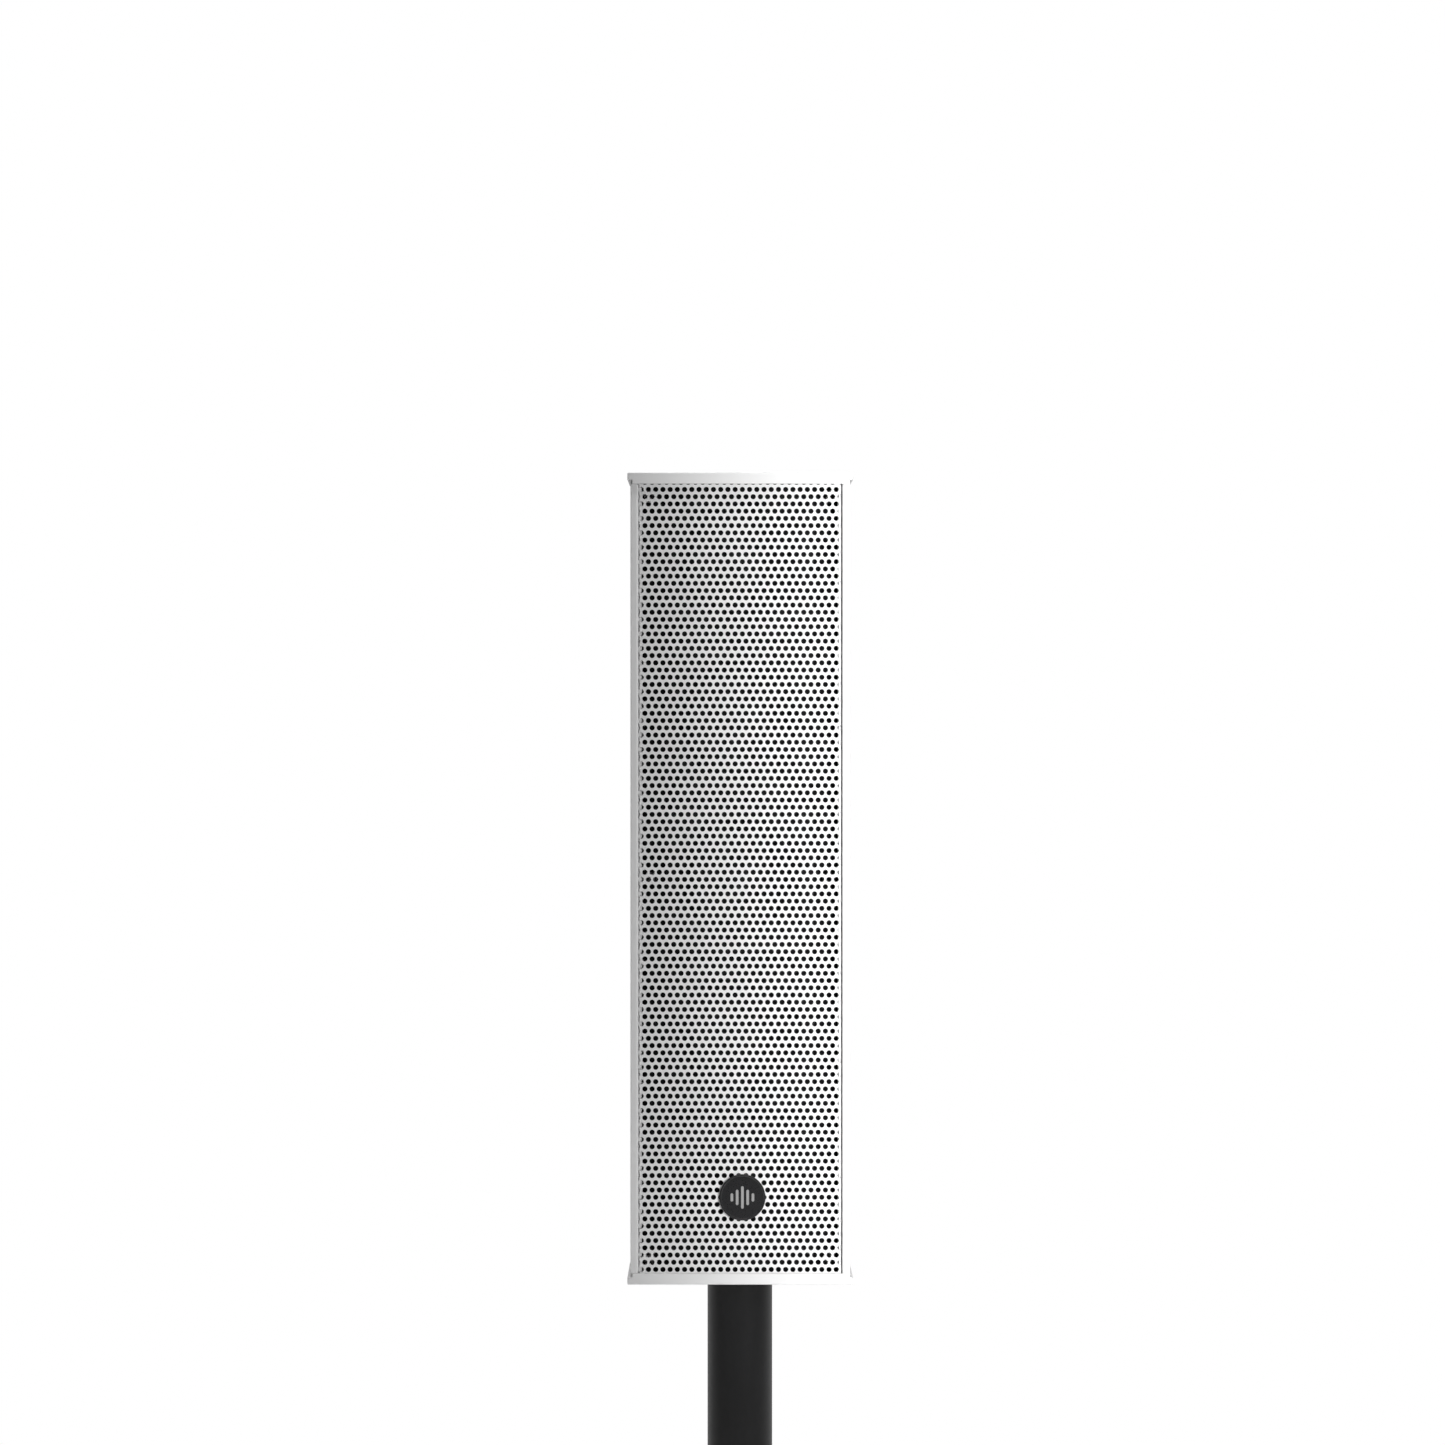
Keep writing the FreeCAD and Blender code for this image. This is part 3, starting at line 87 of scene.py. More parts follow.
def grain_noise(tree, size, detail=3.0, stretch=(1, 1, 1), seed=0.0):
    """Noise in the piece's own space whose spots are about size across, drawn out by stretch."""
    place = shader_node(tree, "ShaderNodeTexCoord")
    turn = shader_node(tree, "ShaderNodeMapping")
    turn.inputs["Scale"].default_value = [1 / (size * s) for s in stretch]
    turn.inputs["Location"].default_value = (seed, seed * 0.7, seed * 1.3)
    noise = shader_node(tree, "ShaderNodeTexNoise", Scale=1.0, Detail=detail, Roughness=0.55)
    link(tree, place.outputs["Object"], turn.inputs["Vector"])
    link(tree, turn.outputs["Vector"], noise.inputs["Vector"])
    return noise.outputs["Fac"]


def spread(tree, value, low, high, from_low=0.3, from_high=0.7):
    """A value brought from its usual range to low .. high."""
    ranged = shader_node(tree, "ShaderNodeMapRange")
    ranged.inputs["From Min"].default_value = from_low
    ranged.inputs["From Max"].default_value = from_high
    ranged.inputs["To Min"].default_value = low
    ranged.inputs["To Max"].default_value = high
    link(tree, value, ranged.inputs["Value"])
    return ranged.outputs["Result"]


def tint(tree, amount, first, second):
    """A colour between two, by an amount from 0 to 1."""
    mix = shader_node(tree, "ShaderNodeMix", data_type="RGBA")
    link(tree, amount, mix.inputs["Factor"])
    for slot, colour in ((6, first), (7, second)):
        if isinstance(colour, tuple):
            mix.inputs[slot].default_value = (*colour, 1)
        else:
            link(tree, colour, mix.inputs[slot])
    return mix.outputs[2]


def edge_mask(tree, radius):
    """1 along the piece's sharp edges, fading to 0 within radius of them."""
    rounded = shader_node(tree, "ShaderNodeBevel", samples=BEVEL_RAYS, Radius=radius)
    flat = shader_node(tree, "ShaderNodeNewGeometry")
    dot = shader_node(tree, "ShaderNodeVectorMath", operation="DOT_PRODUCT")
    link(tree, rounded.outputs["Normal"], dot.inputs[0])
    link(tree, flat.outputs["Normal"], dot.inputs[1])
    return spread(tree, dot.outputs["Value"], 1.0, 0.0, WORN_EDGE, WHOLE_FACE)


def shade(colour, factor):
    """A colour made darker or lighter by a factor."""
    return tuple(min(1.0, c * factor) for c in colour)


def finish(name, colour, rough, metal=0.0, grain=0.5 * MM, depth=0.01 * MM, mottle=0.06, stretch=(1, 1, 1),
           rough_swing=0.06, worn=None, worn_width=0.25 * MM, coat=0.0, soften=0.2 * MM, pattern=None):
    """A finish with mottled colour, a fine grain in relief, uneven gloss and, if worn is given, slightly worn
    edges.
    pattern(tree), if given, returns (amount, colour) of a second colour laid over the first."""
    material = bpy.data.materials.new(name)
    material.use_nodes = True
    tree = material.node_tree
    shader = tree.nodes["Principled BSDF"]
    shader.inputs["Metallic"].default_value = metal
    shader.inputs["Coat Weight"].default_value = coat
    clouds = grain_noise(tree, CLOUD, 4.0, seed=3.1)
    fine = grain_noise(tree, grain, 2.0, stretch)
    amount = spread(tree, clouds, 0.0, 1.0)
    paint = tint(tree, amount, shade(colour, 1 - mottle), shade(colour, 1 + mottle))
    if pattern:
        laid, second = pattern(tree)
        paint = tint(tree, laid, paint, second)
    if worn:
        mask = edge_mask(tree, worn_width)
        patchy = shader_node(tree, "ShaderNodeMath", operation="MULTIPLY")
        patches = grain_noise(tree, WEAR_PATCH, 4.0, seed=7.7)
        link(tree, mask, patchy.inputs[0])
        link(tree, spread(tree, patches, 0.0, 0.8), patchy.inputs[1])
        paint = tint(tree, patchy.outputs[0], paint, worn)
    link(tree, paint, shader.inputs["Base Color"])
    link(tree, spread(tree, fine, rough - rough_swing, rough + rough_swing), shader.inputs["Roughness"])
    relief = shader_node(tree, "ShaderNodeBump", Strength=1.0, Distance=depth)
    link(tree, fine, relief.inputs["Height"])
    if soften:
        rounded = shader_node(tree, "ShaderNodeBevel", samples=BEVEL_RAYS, Radius=soften)
        link(tree, rounded.outputs["Normal"], relief.inputs["Normal"])
    link(tree, relief.outputs["Normal"], shader.inputs["Normal"])
    return material


def cover(material, slot_name, *names):
    """Gives CAD pieces this finish."""
    for name in names:
        piece = nodes[name]
        piece.data.materials.clear()
        piece.data.materials.append(material)


pole_coat = finish("pole_coat", POLE_BLACK, 0.42, grain=0.45 * MM, depth=0.012 * MM, mottle=0.10,
                   rough_swing=0.05, worn=(0.05, 0.05, 0.052))
nylon = finish("nylon", NYLON_BLACK, 0.45, grain=0.8 * MM, depth=0.006 * MM, mottle=0.12)
cover(pole_coat, "pole_black", "pole_tube")
cover(nylon, "nylon", "pole_top_plug", "pole_foot_plug", "cup_bush", "clamp_pad")

# ---- Cabinet body and end caps ----
# One aluminium extrusion with two front rails, closed by a cast cap at each end. All three are
# powder coated in the same satin white, which leaves a fine orange peel.
COAT_WHITE = (0.80, 0.80, 0.80)
WORN_COAT = (0.62, 0.62, 0.61)
PEEL = 0.7 * MM             # across the dimples of the orange peel

white_coat = finish("white_coat", COAT_WHITE, 0.42, grain=PEEL, depth=0.010 * MM, mottle=0.012,
                    rough_swing=0.05, worn=WORN_COAT, worn_width=0.2 * MM)
cover(white_coat, "white_coat", "cabinet_extrusion", "top_cap", "bottom_cap")

# ---- Front grille ----
# A steel sheet of 1.2 mm, punched with staggered rows of 2.7 mm holes and sheared to width without
# regard to the pattern, so that some holes are cut open along its edges. Its faces are coated like the
# body. The walls of its holes and its sheared edges are painted near black: partly the thin coat over
# bare steel, and partly painted shade inside the holes and the gaps beside the rails.
HOLE_RADIUS = 1.35 * MM
PITCH = 3.8385 * MM         # along a row, and from row to row
FIRST_ROW = 7.84 * MM       # above the cabinet's bottom
COLUMN_OFFSET = 1.16 * MM   # the column of holes nearest the centre
HOLE_SIDES = 12
POLYGON_RADIUS = HOLE_RADIUS / math.cos(math.pi / HOLE_SIDES)   # centre to corner, flats on the round hole
# near black for the hole walls and sheared edges: thin coat over steel, plus painted shade inside the holes
CUT_STEEL_AND_SHADE = (0.03, 0.03, 0.031)
LEAST_CUT = 0.1 * MM        # a shallower bite of a hole into the sheet's edge isn't made
LEAST_WEB = 0.3 * MM        # sheet left between a row of whole holes and the sheet's end
SPARE_ROWS = 3              # rows tried past the cabinet's bottom and top
WELD_STEPS = 1e7            # corners that agree when counted in this many steps to the metre are one
NO_WIDTH = 1e-9

sheet_low, sheet_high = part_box("front_grille")
cabinet_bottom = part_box("bottom_cap")[0].z
half_sheet = sheet_high.x


def row_height(row):
    return cabinet_bottom + FIRST_ROW + row * PITCH


def hole_columns(row):
    """Hole centres of one row, staggered by half a pitch from the rows beside it."""
    reach = int(half_sheet / PITCH) + 2
    shift = COLUMN_OFFSET + (PITCH / 2 if row % 2 else 0.0)
    return [shift + i * PITCH for i in range(-reach, reach + 1)]


def bite(x, side):
    """The points of a hole that is cut open by the sheet's edge on this side, as (x, z) from its row."""
    edge = side * half_sheet
    reach = math.acos(max(-1.0, min(1.0, side * (edge - x) / HOLE_RADIUS)))
    sweep = 2 * math.pi - 2 * reach
    count = max(3, round(HOLE_SIDES * sweep / (2 * math.pi)) + 1)
    start = math.pi + sweep / 2
    points = []
    for i in range(count):
        angle = start - sweep * i / (count - 1)
        points.append((x + side * HOLE_RADIUS * math.cos(angle), HOLE_RADIUS * math.sin(angle)))
    return points


def grille_sheet():
    """The punched sheet: each hole stands in its own cell, and the cells share their corners.
    The row beyond the last whole one at each end is cut open by the sheet's end."""
    corners, places, faces = [], {}, []

    def corner(x, y, z):
        key = (round(x * WELD_STEPS), round(y * WELD_STEPS), round(z * WELD_STEPS))
        if key not in places:
            places[key] = len(corners)
            corners.append((x, y, z))
        return places[key]

    def both_sides(outline):
        """A flat patch on the sheet's front and on its back, from (x, z) points in right-hand order."""
        faces.append([corner(x, sheet_low.y, z) for x, z in outline])
        faces.append([corner(x, sheet_high.y, z) for x, z in reversed(outline)])

    def wall(points):
        """The sheet's thickness along a run of (x, z) points."""
        for (x0, z0), (x1, z1) in zip(points[:-1], points[1:]):
            faces.append([corner(x0, sheet_low.y, z0), corner(x0, sheet_high.y, z0),
                          corner(x1, sheet_high.y, z1), corner(x1, sheet_low.y, z1)])

    margin = HOLE_RADIUS + LEAST_WEB
    rows = [row for row in range(-SPARE_ROWS, int((cad_high.z - cabinet_bottom) / PITCH) + SPARE_ROWS)
            if sheet_low.z + margin < row_height(row) < sheet_high.z - margin]
    quarter = HOLE_SIDES // 4
    ring = [(POLYGON_RADIUS * math.cos(2 * math.pi * i / HOLE_SIDES),
             POLYGON_RADIUS * math.sin(2 * math.pi * i / HOLE_SIDES)) for i in range(HOLE_SIDES + 1)]
    for row in rows:
        z = row_height(row)
        low, high = z - PITCH / 2, z + PITCH / 2
        for x in hole_columns(row):
            left, right = max(x - PITCH / 2, -half_sheet), min(x + PITCH / 2, half_sheet)
            if right - left < NO_WIDTH:
                continue
            cut = [side for side in (-1, 1) if abs(x - side * half_sheet) < HOLE_RADIUS - LEAST_CUT]
            if cut:
                side = cut[0]
                edge, far = (right, left) if side > 0 else (left, right)
                notch = [(px, z + pz) for px, pz in bite(x, side)]
                middle = [(x, high)] if left < x < right else []
                middle_low = [(x, low)] if left < x < right else []
                outline = [(edge, high)] + middle + [(far, high), (far, low)]
                outline += middle_low + [(edge, low)]
                outline += notch[::-1] if notch[0][1] > notch[-1][1] else notch
                both_sides(outline[::-1] if side > 0 else outline)
                wall(notch if side < 0 else notch[::-1])
                wall([(edge, low), min(notch, key=lambda p: p[1])])
                wall([max(notch, key=lambda p: p[1]), (edge, high)])
            elif left < x < right:
                hole = [(x + px, z + pz) for px, pz in ring]
                low_point, high_point = 3 * quarter, quarter
                left_arc = hole[high_point:low_point + 1]
                right_arc = hole[low_point:] + hole[1:high_point + 1]
                both_sides([(x, high), (left, high), (left, low), (x, low)] + left_arc[::-1])
                both_sides([(x, low), (right, low), (right, high), (x, high)] + right_arc[::-1])
                wall(hole)
            else:
                both_sides([(left, low), (right, low), (right, high), (left, high)])
    for row, way, end in ((rows[0] - 1, -1, sheet_low.z), (rows[-1] + 1, 1, sheet_high.z)):
        level = row_height(row) - way * PITCH / 2
        half_bite = math.sqrt(max(0.0, HOLE_RADIUS ** 2 - (row_height(row) - end) ** 2))
        is_open = half_bite > 0 and abs(row_height(row) - end) < HOLE_RADIUS - LEAST_CUT
        for x in hole_columns(row):
            if abs(x) - PITCH / 2 >= half_sheet:
                continue
            left, right = max(x - PITCH / 2, -half_sheet), min(x + PITCH / 2, half_sheet)
            inner = [(x, level)] if left < x < right else []
            outline = [(left, level)] + inner + [(right, level), (right, end)]
            if is_open and abs(x) + HOLE_RADIUS < half_sheet - LEAST_CUT:
                rise = math.asin((end - row_height(row)) * way / HOLE_RADIUS)
                span = math.pi + 2 * rise
                notch = [(x + HOLE_RADIUS * math.cos(rise - span * i / HOLE_SIDES),
                          row_height(row) + way * HOLE_RADIUS * math.sin(rise - span * i / HOLE_SIDES))
                         for i in range(HOLE_SIDES + 1)]
                outline += notch + [(left, end)]
                run = [(right, end)] + notch + [(left, end)]
            else:
                outline.append((left, end))
                run = [(right, end), (left, end)]
            both_sides(outline if way > 0 else outline[::-1])
            wall(run if way > 0 else run[::-1])
        for side in (-1, 1):
            wall([(side * half_sheet, min(level, end)), (side * half_sheet, max(level, end))])
    mesh = bpy.data.meshes.new("grille_sheet")
    mesh.from_pydata(corners, [], faces)
    mesh.validate()
    mesh.update()
    return mesh


grille = bpy.data.objects.new("grille_sheet", grille_sheet())
bpy.context.scene.collection.objects.link(grille)


def cut_edges_and_hole_shade(tree):
    """Walls of the punched holes and sheared edges, painted near black: partly the thin coat over dark steel,
    partly painted shade inside the holes.
    """
    place = shader_node(tree, "ShaderNodeTexCoord")
    split = shader_node(tree, "ShaderNodeSeparateXYZ")
    link(tree, place.outputs["Normal"], split.inputs[0])
    facing = shader_node(tree, "ShaderNodeMath", operation="ABSOLUTE")
    link(tree, split.outputs["Y"], facing.inputs[0])
    return spread(tree, facing.outputs[0], 1.0, 0.0, 0.3, 0.7), CUT_STEEL_AND_SHADE


# the pattern paints the hole walls and sheared edges near black, as coat over steel and as painted shade
grille_coat = finish("grille_coat", COAT_WHITE, 0.42, grain=PEEL, depth=0.010 * MM, mottle=0.012,
                     rough_swing=0.05, soften=0, pattern=cut_edges_and_hole_shade)
grille.data.materials.append(grille_coat)
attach(grille, "cabinet")
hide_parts("front_grille")

# ---- Badge ----
# A charcoal lacquered disc with a turned rim and a raised grey sign of five upright bars.
# Its pin goes through one of the grille's holes.
BADGE_CHARCOAL = (0.022, 0.022, 0.023)
SIGN_GREY = (0.34, 0.34, 0.34)
WORN_LACQUER = (0.16, 0.16, 0.16)
BACK_CHAMFER = 0.3 * MM
RIM_ROUND = 0.5 * MM
FACE_RECESS = 0.42 * MM     # face of the disc behind its rim
FACE_CROWN = 0.10 * MM      # rise of the face towards its middle
RIM_STEPS = 6
DISC_STEPS = 96
BAR_WIDTH = 1.5 * MM
BAR_PITCH = 2.8 * MM
BAR_LONGEST = 12.0 * MM
BAR_STEP = 3.8 * MM         # each bar is this much shorter than its inner neighbour
BAR_FOOT = 0.5 * MM         # a bar's back, sunk in the face, from the rim's front
BAR_TOP = 0.12 * MM         # its front, from the rim's front
BAR_BEVEL = 0.12 * MM       # across
BAR_BEVEL_DEPTH = 0.1 * MM
BAR_END_STEPS = 8

badge_low, badge_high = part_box("badge")
badge_centre = Vector(((badge_low.x + badge_high.x) / 2, 0, (badge_low.z + badge_high.z) / 2))
badge_radius = (badge_high.x - badge_low.x) / 2
badge_front = badge_low.y


def new_piece(name, points, faces, material, body, slot_name, smooth=False):
    """A meshed piece with its finish, on its body."""
    mesh = bpy.data.meshes.new(name)
    mesh.from_pydata(points, [], faces)
    mesh.update()
    piece = bpy.data.objects.new(name, mesh)
    bpy.context.scene.collection.objects.link(piece)
    mesh.materials.append(material)
    if smooth:
        mesh.polygons.foreach_set("use_smooth", [True] * len(mesh.polygons))
        mesh.set_sharp_from_angle(angle=math.radians(35))
    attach(piece, body)
    return piece


def lathe_points(profile, centre, steps):
    """Rings of points around the line along Y through centre, from (radius, y) pairs."""
    angles = [2 * math.pi * i / steps for i in range(steps)]
    return [(centre.x + r * math.cos(angle), y, centre.z + r * math.sin(angle))
            for r, y in profile for angle in angles]


def lathe_faces(ring_count, steps):
    """Faces between the rings, and one that closes each end."""
    faces = []
    for ring in range(ring_count - 1):
        for i in range(steps):
            a, b = ring * steps + i, ring * steps + (i + 1) % steps
            faces.append((a, b, b + steps, a + steps))
    faces.append(tuple(range(steps))[::-1])
    faces.append(tuple((ring_count - 1) * steps + i for i in range(steps)))
    return faces


def rounded_rim(radius, front, back, lip):
    """Profile of the badge from its back edge over the rounded rim to the middle of its face."""
    profile = [(radius - BACK_CHAMFER, back), (radius, back - BACK_CHAMFER)]
    for i in range(RIM_STEPS + 1):
        angle = math.pi / 2 * i / RIM_STEPS
        profile.append((radius - lip + lip * math.cos(angle), front + lip - lip * math.sin(angle)))
    profile += [(radius - lip - 0.35 * MM, front + 0.05 * MM), (radius - lip - 0.6 * MM, front + FACE_RECESS)]
    for share in (0.7, 0.4, 0.1):
        profile.append((radius * share, front + FACE_RECESS - FACE_CROWN * (1 - share ** 2)))
    return profile


badge_lacquer = finish("badge_lacquer", BADGE_CHARCOAL, 0.30, grain=0.3 * MM, depth=0.002 * MM, mottle=0.08,
                       rough_swing=0.04, coat=0.25, worn=WORN_LACQUER, worn_width=0.35 * MM)
profile = rounded_rim(badge_radius, badge_front, sheet_low.y, RIM_ROUND)
badge_disc = new_piece("badge_disc", lathe_points(profile, badge_centre, DISC_STEPS),
                       lathe_faces(len(profile), DISC_STEPS), badge_lacquer, "cabinet", "badge_black", True)
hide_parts("badge")


def bar_sign():
    """Five raised upright bars with round ends, the middle one longest."""
    points, faces = [], []
    back, front = badge_front + BAR_FOOT, badge_front + BAR_TOP
    radius = BAR_WIDTH / 2
    inset = 1 - BAR_BEVEL / radius
    for i in range(-2, 3):
        middle_x = badge_centre.x + i * BAR_PITCH
        straight = (BAR_LONGEST - BAR_STEP * abs(i)) / 2 - radius
        outline = []
        for end in (1, -1):
            for k in range(BAR_END_STEPS + 1):
                angle = math.pi * k / BAR_END_STEPS + (0 if end > 0 else math.pi)
                outline.append((middle_x + radius * math.cos(angle),
                                badge_centre.z + end * straight + radius * math.sin(angle)))
        start, count = len(points), len(outline)
        for y, scale in ((back, 1.0), (front + BAR_BEVEL_DEPTH, 1.0), (front, inset)):
            points += [(middle_x + (x - middle_x) * scale, y, badge_centre.z + (z - badge_centre.z) * scale)
                       for x, z in outline]
        for level in range(2):
            low = start + level * count
            faces += [(low + k, low + (k + 1) % count, low + count + (k + 1) % count, low + count + k)
                      for k in range(count)]
        faces.append(tuple(start + k for k in range(count))[::-1])
        faces.append(tuple(start + 2 * count + k for k in range(count)))
    return points, faces


sign_grey = finish("sign_grey", SIGN_GREY, 0.38, grain=0.25 * MM, depth=0.002 * MM, mottle=0.05,
                   soften=0.1 * MM)
badge_sign = new_piece("badge_sign", *bar_sign(), sign_grey, "cabinet", "badge_black")
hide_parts("badge")

# ---- Baffle ----
# A moulded black board behind the grille that carries the drivers. It is screwed to the body's
# inner flanges on a strip of foam, with zinc-plated pan-head screws.
BAFFLE_BLACK = (0.006, 0.006, 0.006)
FOAM_BLACK = (0.02, 0.02, 0.02)
ZINC = (0.56, 0.56, 0.57)
RUBBED_ZINC = (0.75, 0.75, 0.76)

baffle_plastic = finish("baffle_plastic", BAFFLE_BLACK, 0.75, grain=0.6 * MM, depth=0.03 * MM,
                        mottle=0.12)
foam = finish("foam", FOAM_BLACK, 0.9, grain=0.8 * MM, depth=0.15 * MM, mottle=0.2)
zinc = finish("zinc", ZINC, 0.38, metal=1.0, grain=0.4 * MM, depth=0.003 * MM, mottle=0.08, rough_swing=0.08,
              worn=RUBBED_ZINC)
cover(baffle_plastic, "baffle_black", "baffle")
cover(foam, "foam_black", "baffle_gasket", "cap_gaskets", "input_plate_gasket")
cover(zinc, "screw_zinc", "baffle_screws", "cap_screws", "cup_screws", "input_plate_screws",
      "transformer_screws", "bracket_inserts", "board_standoffs")

# ---- Drivers ----
# Five small drivers in a row. Each has a pressed frame, a ferrite magnet between steel plates, a
# pressed paper cone with its dust cap, a rubber half-roll surround and a corrugated cloth spider.
# Black screws hold the frames to the baffle.
DRIVERS = range(1, 6)
CONE_GREY = (0.022, 0.022, 0.022)
CONE_RIBS = 3.1 * MM        # from one pressed ring of the cone to the next
FRAME_BLACK = (0.010, 0.010, 0.010)
RUBBER_BLACK = (0.010, 0.010, 0.0105)
FERRITE_GREY = (0.07, 0.07, 0.075)
SPIDER_TAN = (0.50, 0.36, 0.15)
SPIDER_VALLEY = (0.36, 0.25, 0.09)
SPIDER_RIBS = 0.9 * MM


def rings(tree, middle_z, step, first, second):
    """Fine rings around a driver's axis: the amount of the second colour."""
    place = shader_node(tree, "ShaderNodeTexCoord")
    flat = shader_node(tree, "ShaderNodeVectorMath", operation="MULTIPLY_ADD")
    flat.inputs[1].default_value = (1, 0, 1)
    flat.inputs[2].default_value = (0, 0, -middle_z)
    length = shader_node(tree, "ShaderNodeVectorMath", operation="LENGTH")
    link(tree, place.outputs["Object"], flat.inputs[0])
    link(tree, flat.outputs["Vector"], length.inputs[0])
    wave = shader_node(tree, "ShaderNodeMath", operation="MULTIPLY")
    wave.inputs[1].default_value = 2 * math.pi / step
    turn = shader_node(tree, "ShaderNodeMath", operation="SINE")
    link(tree, length.outputs["Value"], wave.inputs[0])
    link(tree, wave.outputs[0], turn.inputs[0])
    return spread(tree, turn.outputs[0], first, second, -1.0, 1.0)


def axis_height(number):
    """Height of a driver's axis."""
    low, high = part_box(f"driver_{number}_basket")
    return (low.z + high.z) / 2


frame_enamel = finish("frame_enamel", FRAME_BLACK, 0.5, grain=0.5 * MM, depth=0.008 * MM, mottle=0.1,
                      worn=(0.04, 0.04, 0.04))
surround_rubber = finish("surround_rubber", RUBBER_BLACK, 0.55, grain=0.5 * MM, depth=0.01 * MM,
                         mottle=0.12)
ferrite = finish("ferrite", FERRITE_GREY, 0.5, grain=0.9 * MM, depth=0.04 * MM, mottle=0.2,
                 worn=(0.2, 0.2, 0.2))
cover(frame_enamel, "frame_black", "driver_screws")
for number in DRIVERS:
    height = axis_height(number)
    paper = finish(f"cone_paper_{number}", CONE_GREY, 0.72, grain=0.35 * MM, depth=0.06 * MM, mottle=0.2,
                   pattern=lambda tree: (rings(tree, height, CONE_RIBS, 0.0, 0.5), shade(CONE_GREY, 0.6)))
    cloth = finish(f"spider_cloth_{number}", SPIDER_TAN, 0.85, grain=0.3 * MM, depth=0.08 * MM, mottle=0.15,
                   pattern=lambda tree: (rings(tree, height, SPIDER_RIBS, 0.0, 0.6), SPIDER_VALLEY))
    cover(paper, "cone_paper", f"driver_{number}_cone")
    cover(cloth, "spider_cloth", f"driver_{number}_spider")
    cover(frame_enamel, "frame_black", f"driver_{number}_basket")
    cover(surround_rubber, "surround_rubber", f"driver_{number}_surround")
    cover(ferrite, "magnet_ferrite", f"driver_{number}_magnet")

# ---- Input module ----
# A black anodised plate on the back with the terminal block, its green plug and the tap selector.
# They sit on the filter board, which hangs from the plate on four posts inside the cabinet.
PLATE_BLACK = (0.022, 0.022, 0.024)
BARE_ALUMINIUM = (0.22, 0.22, 0.23)
TERMINAL_BLACK = (0.02, 0.02, 0.02)
TERMINAL_GREEN = (0.03, 0.21, 0.075)
KNOB_BLACK = (0.018, 0.018, 0.019)
PRINT_WHITE = (0.7, 0.7, 0.7)
TICKS = 5
TICK_TURN = 30              # degrees from one tick to the next
TICK_START = 90
TICK_FROM = 11.0 * MM       # from the selector's axis
TICK_TO = 14.0 * MM
TICK_HALF_WIDTH = 0.4 * MM
INK = 0.06 * MM

plate_anodised = finish("plate_anodised", PLATE_BLACK, 0.38, metal=0.6, grain=0.25 * MM, depth=0.004 * MM,
                        mottle=0.08, stretch=(14, 1, 1), rough_swing=0.08, worn=BARE_ALUMINIUM)
terminal_black = finish("terminal_black", TERMINAL_BLACK, 0.5, grain=0.5 * MM, depth=0.01 * MM, mottle=0.1)
terminal_green = finish("terminal_green", TERMINAL_GREEN, 0.45, grain=0.5 * MM, depth=0.01 * MM, mottle=0.08,
                        worn=(0.10, 0.34, 0.17))
knob_plastic = finish("knob_plastic", KNOB_BLACK, 0.55, grain=0.35 * MM, depth=0.03 * MM, mottle=0.1,
                      worn=(0.06, 0.06, 0.06))
cover(plate_anodised, "plate_black", "input_plate")
cover(terminal_black, "terminal_black", "terminal_header", "tap_switch")
cover(terminal_green, "terminal_green", "terminal_plug")
cover(knob_plastic, "knob_plastic", "tap_knob", "clamp_knob")


def bar(x0, x1, y0, y1, z0, z1):
    """Corners and faces of one straight bar."""
    points = [(x, y, z) for x in (x0, x1) for y in (y0, y1) for z in (z0, z1)]
    faces = [(0, 1, 3, 2), (4, 6, 7, 5), (0, 4, 5, 1), (2, 3, 7, 6), (0, 2, 6, 4), (1, 5, 7, 3)]
    return points, faces


def selector_ticks():
    """Printed ticks around the tap selector, one for each of its steps."""
    low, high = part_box("tap_knob")
    centre_x, centre_z = (low.x + high.x) / 2, (low.z + high.z) / 2
    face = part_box("input_plate")[1].y
    points, faces = [], []
    for step in range(TICKS):
        angle = math.radians(TICK_START + TICK_TURN * step)
        along, across = (math.cos(angle), math.sin(angle)), (-math.sin(angle), math.cos(angle))
        corners, sides = bar(TICK_FROM, TICK_TO, face, face + INK, -TICK_HALF_WIDTH, TICK_HALF_WIDTH)
        start = len(points)
        points += [(centre_x + r * along[0] + w * across[0], y, centre_z + r * along[1] + w * across[1])
                   for r, y, w in corners]
        faces += [tuple(start + k for k in side) for side in sides]
    return points, faces


print_white = finish("print_white", PRINT_WHITE, 0.6, grain=0.3 * MM, depth=0.002 * MM, mottle=0.05,
                     soften=0)
new_piece("selector_ticks", *selector_ticks(), print_white, "cabinet", "white_coat")

# ---- Filter board and transformer ----
# Inside the body: a glass-fibre board with its coil and two film capacitors, and a small line
# transformer, its steel laminations held to the back wall by two angles.
BOARD_GREEN = (0.012, 0.11, 0.035)
COPPER = (0.62, 0.24, 0.10)
STEEL_GREY = (0.33, 0.34, 0.36)
SHEET_GAP = (0.10, 0.10, 0.11)
FILM_AMBER = (0.50, 0.24, 0.03)


def tracks(tree):
    """Copper tracks under the solder mask, a little lighter than the rest."""
    place = shader_node(tree, "ShaderNodeTexCoord")
    brick = shader_node(tree, "ShaderNodeTexBrick", Scale=240.0)
    brick.inputs["Mortar Size"].default_value = 0.06
    turn = shader_node(tree, "ShaderNodeMapping")
    turn.inputs["Rotation"].default_value = (math.pi / 2, 0, 0)
    link(tree, place.outputs["Object"], turn.inputs["Vector"])
    link(tree, turn.outputs["Vector"], brick.inputs["Vector"])
    return brick.outputs["Fac"], shade(BOARD_GREEN, 2.2)


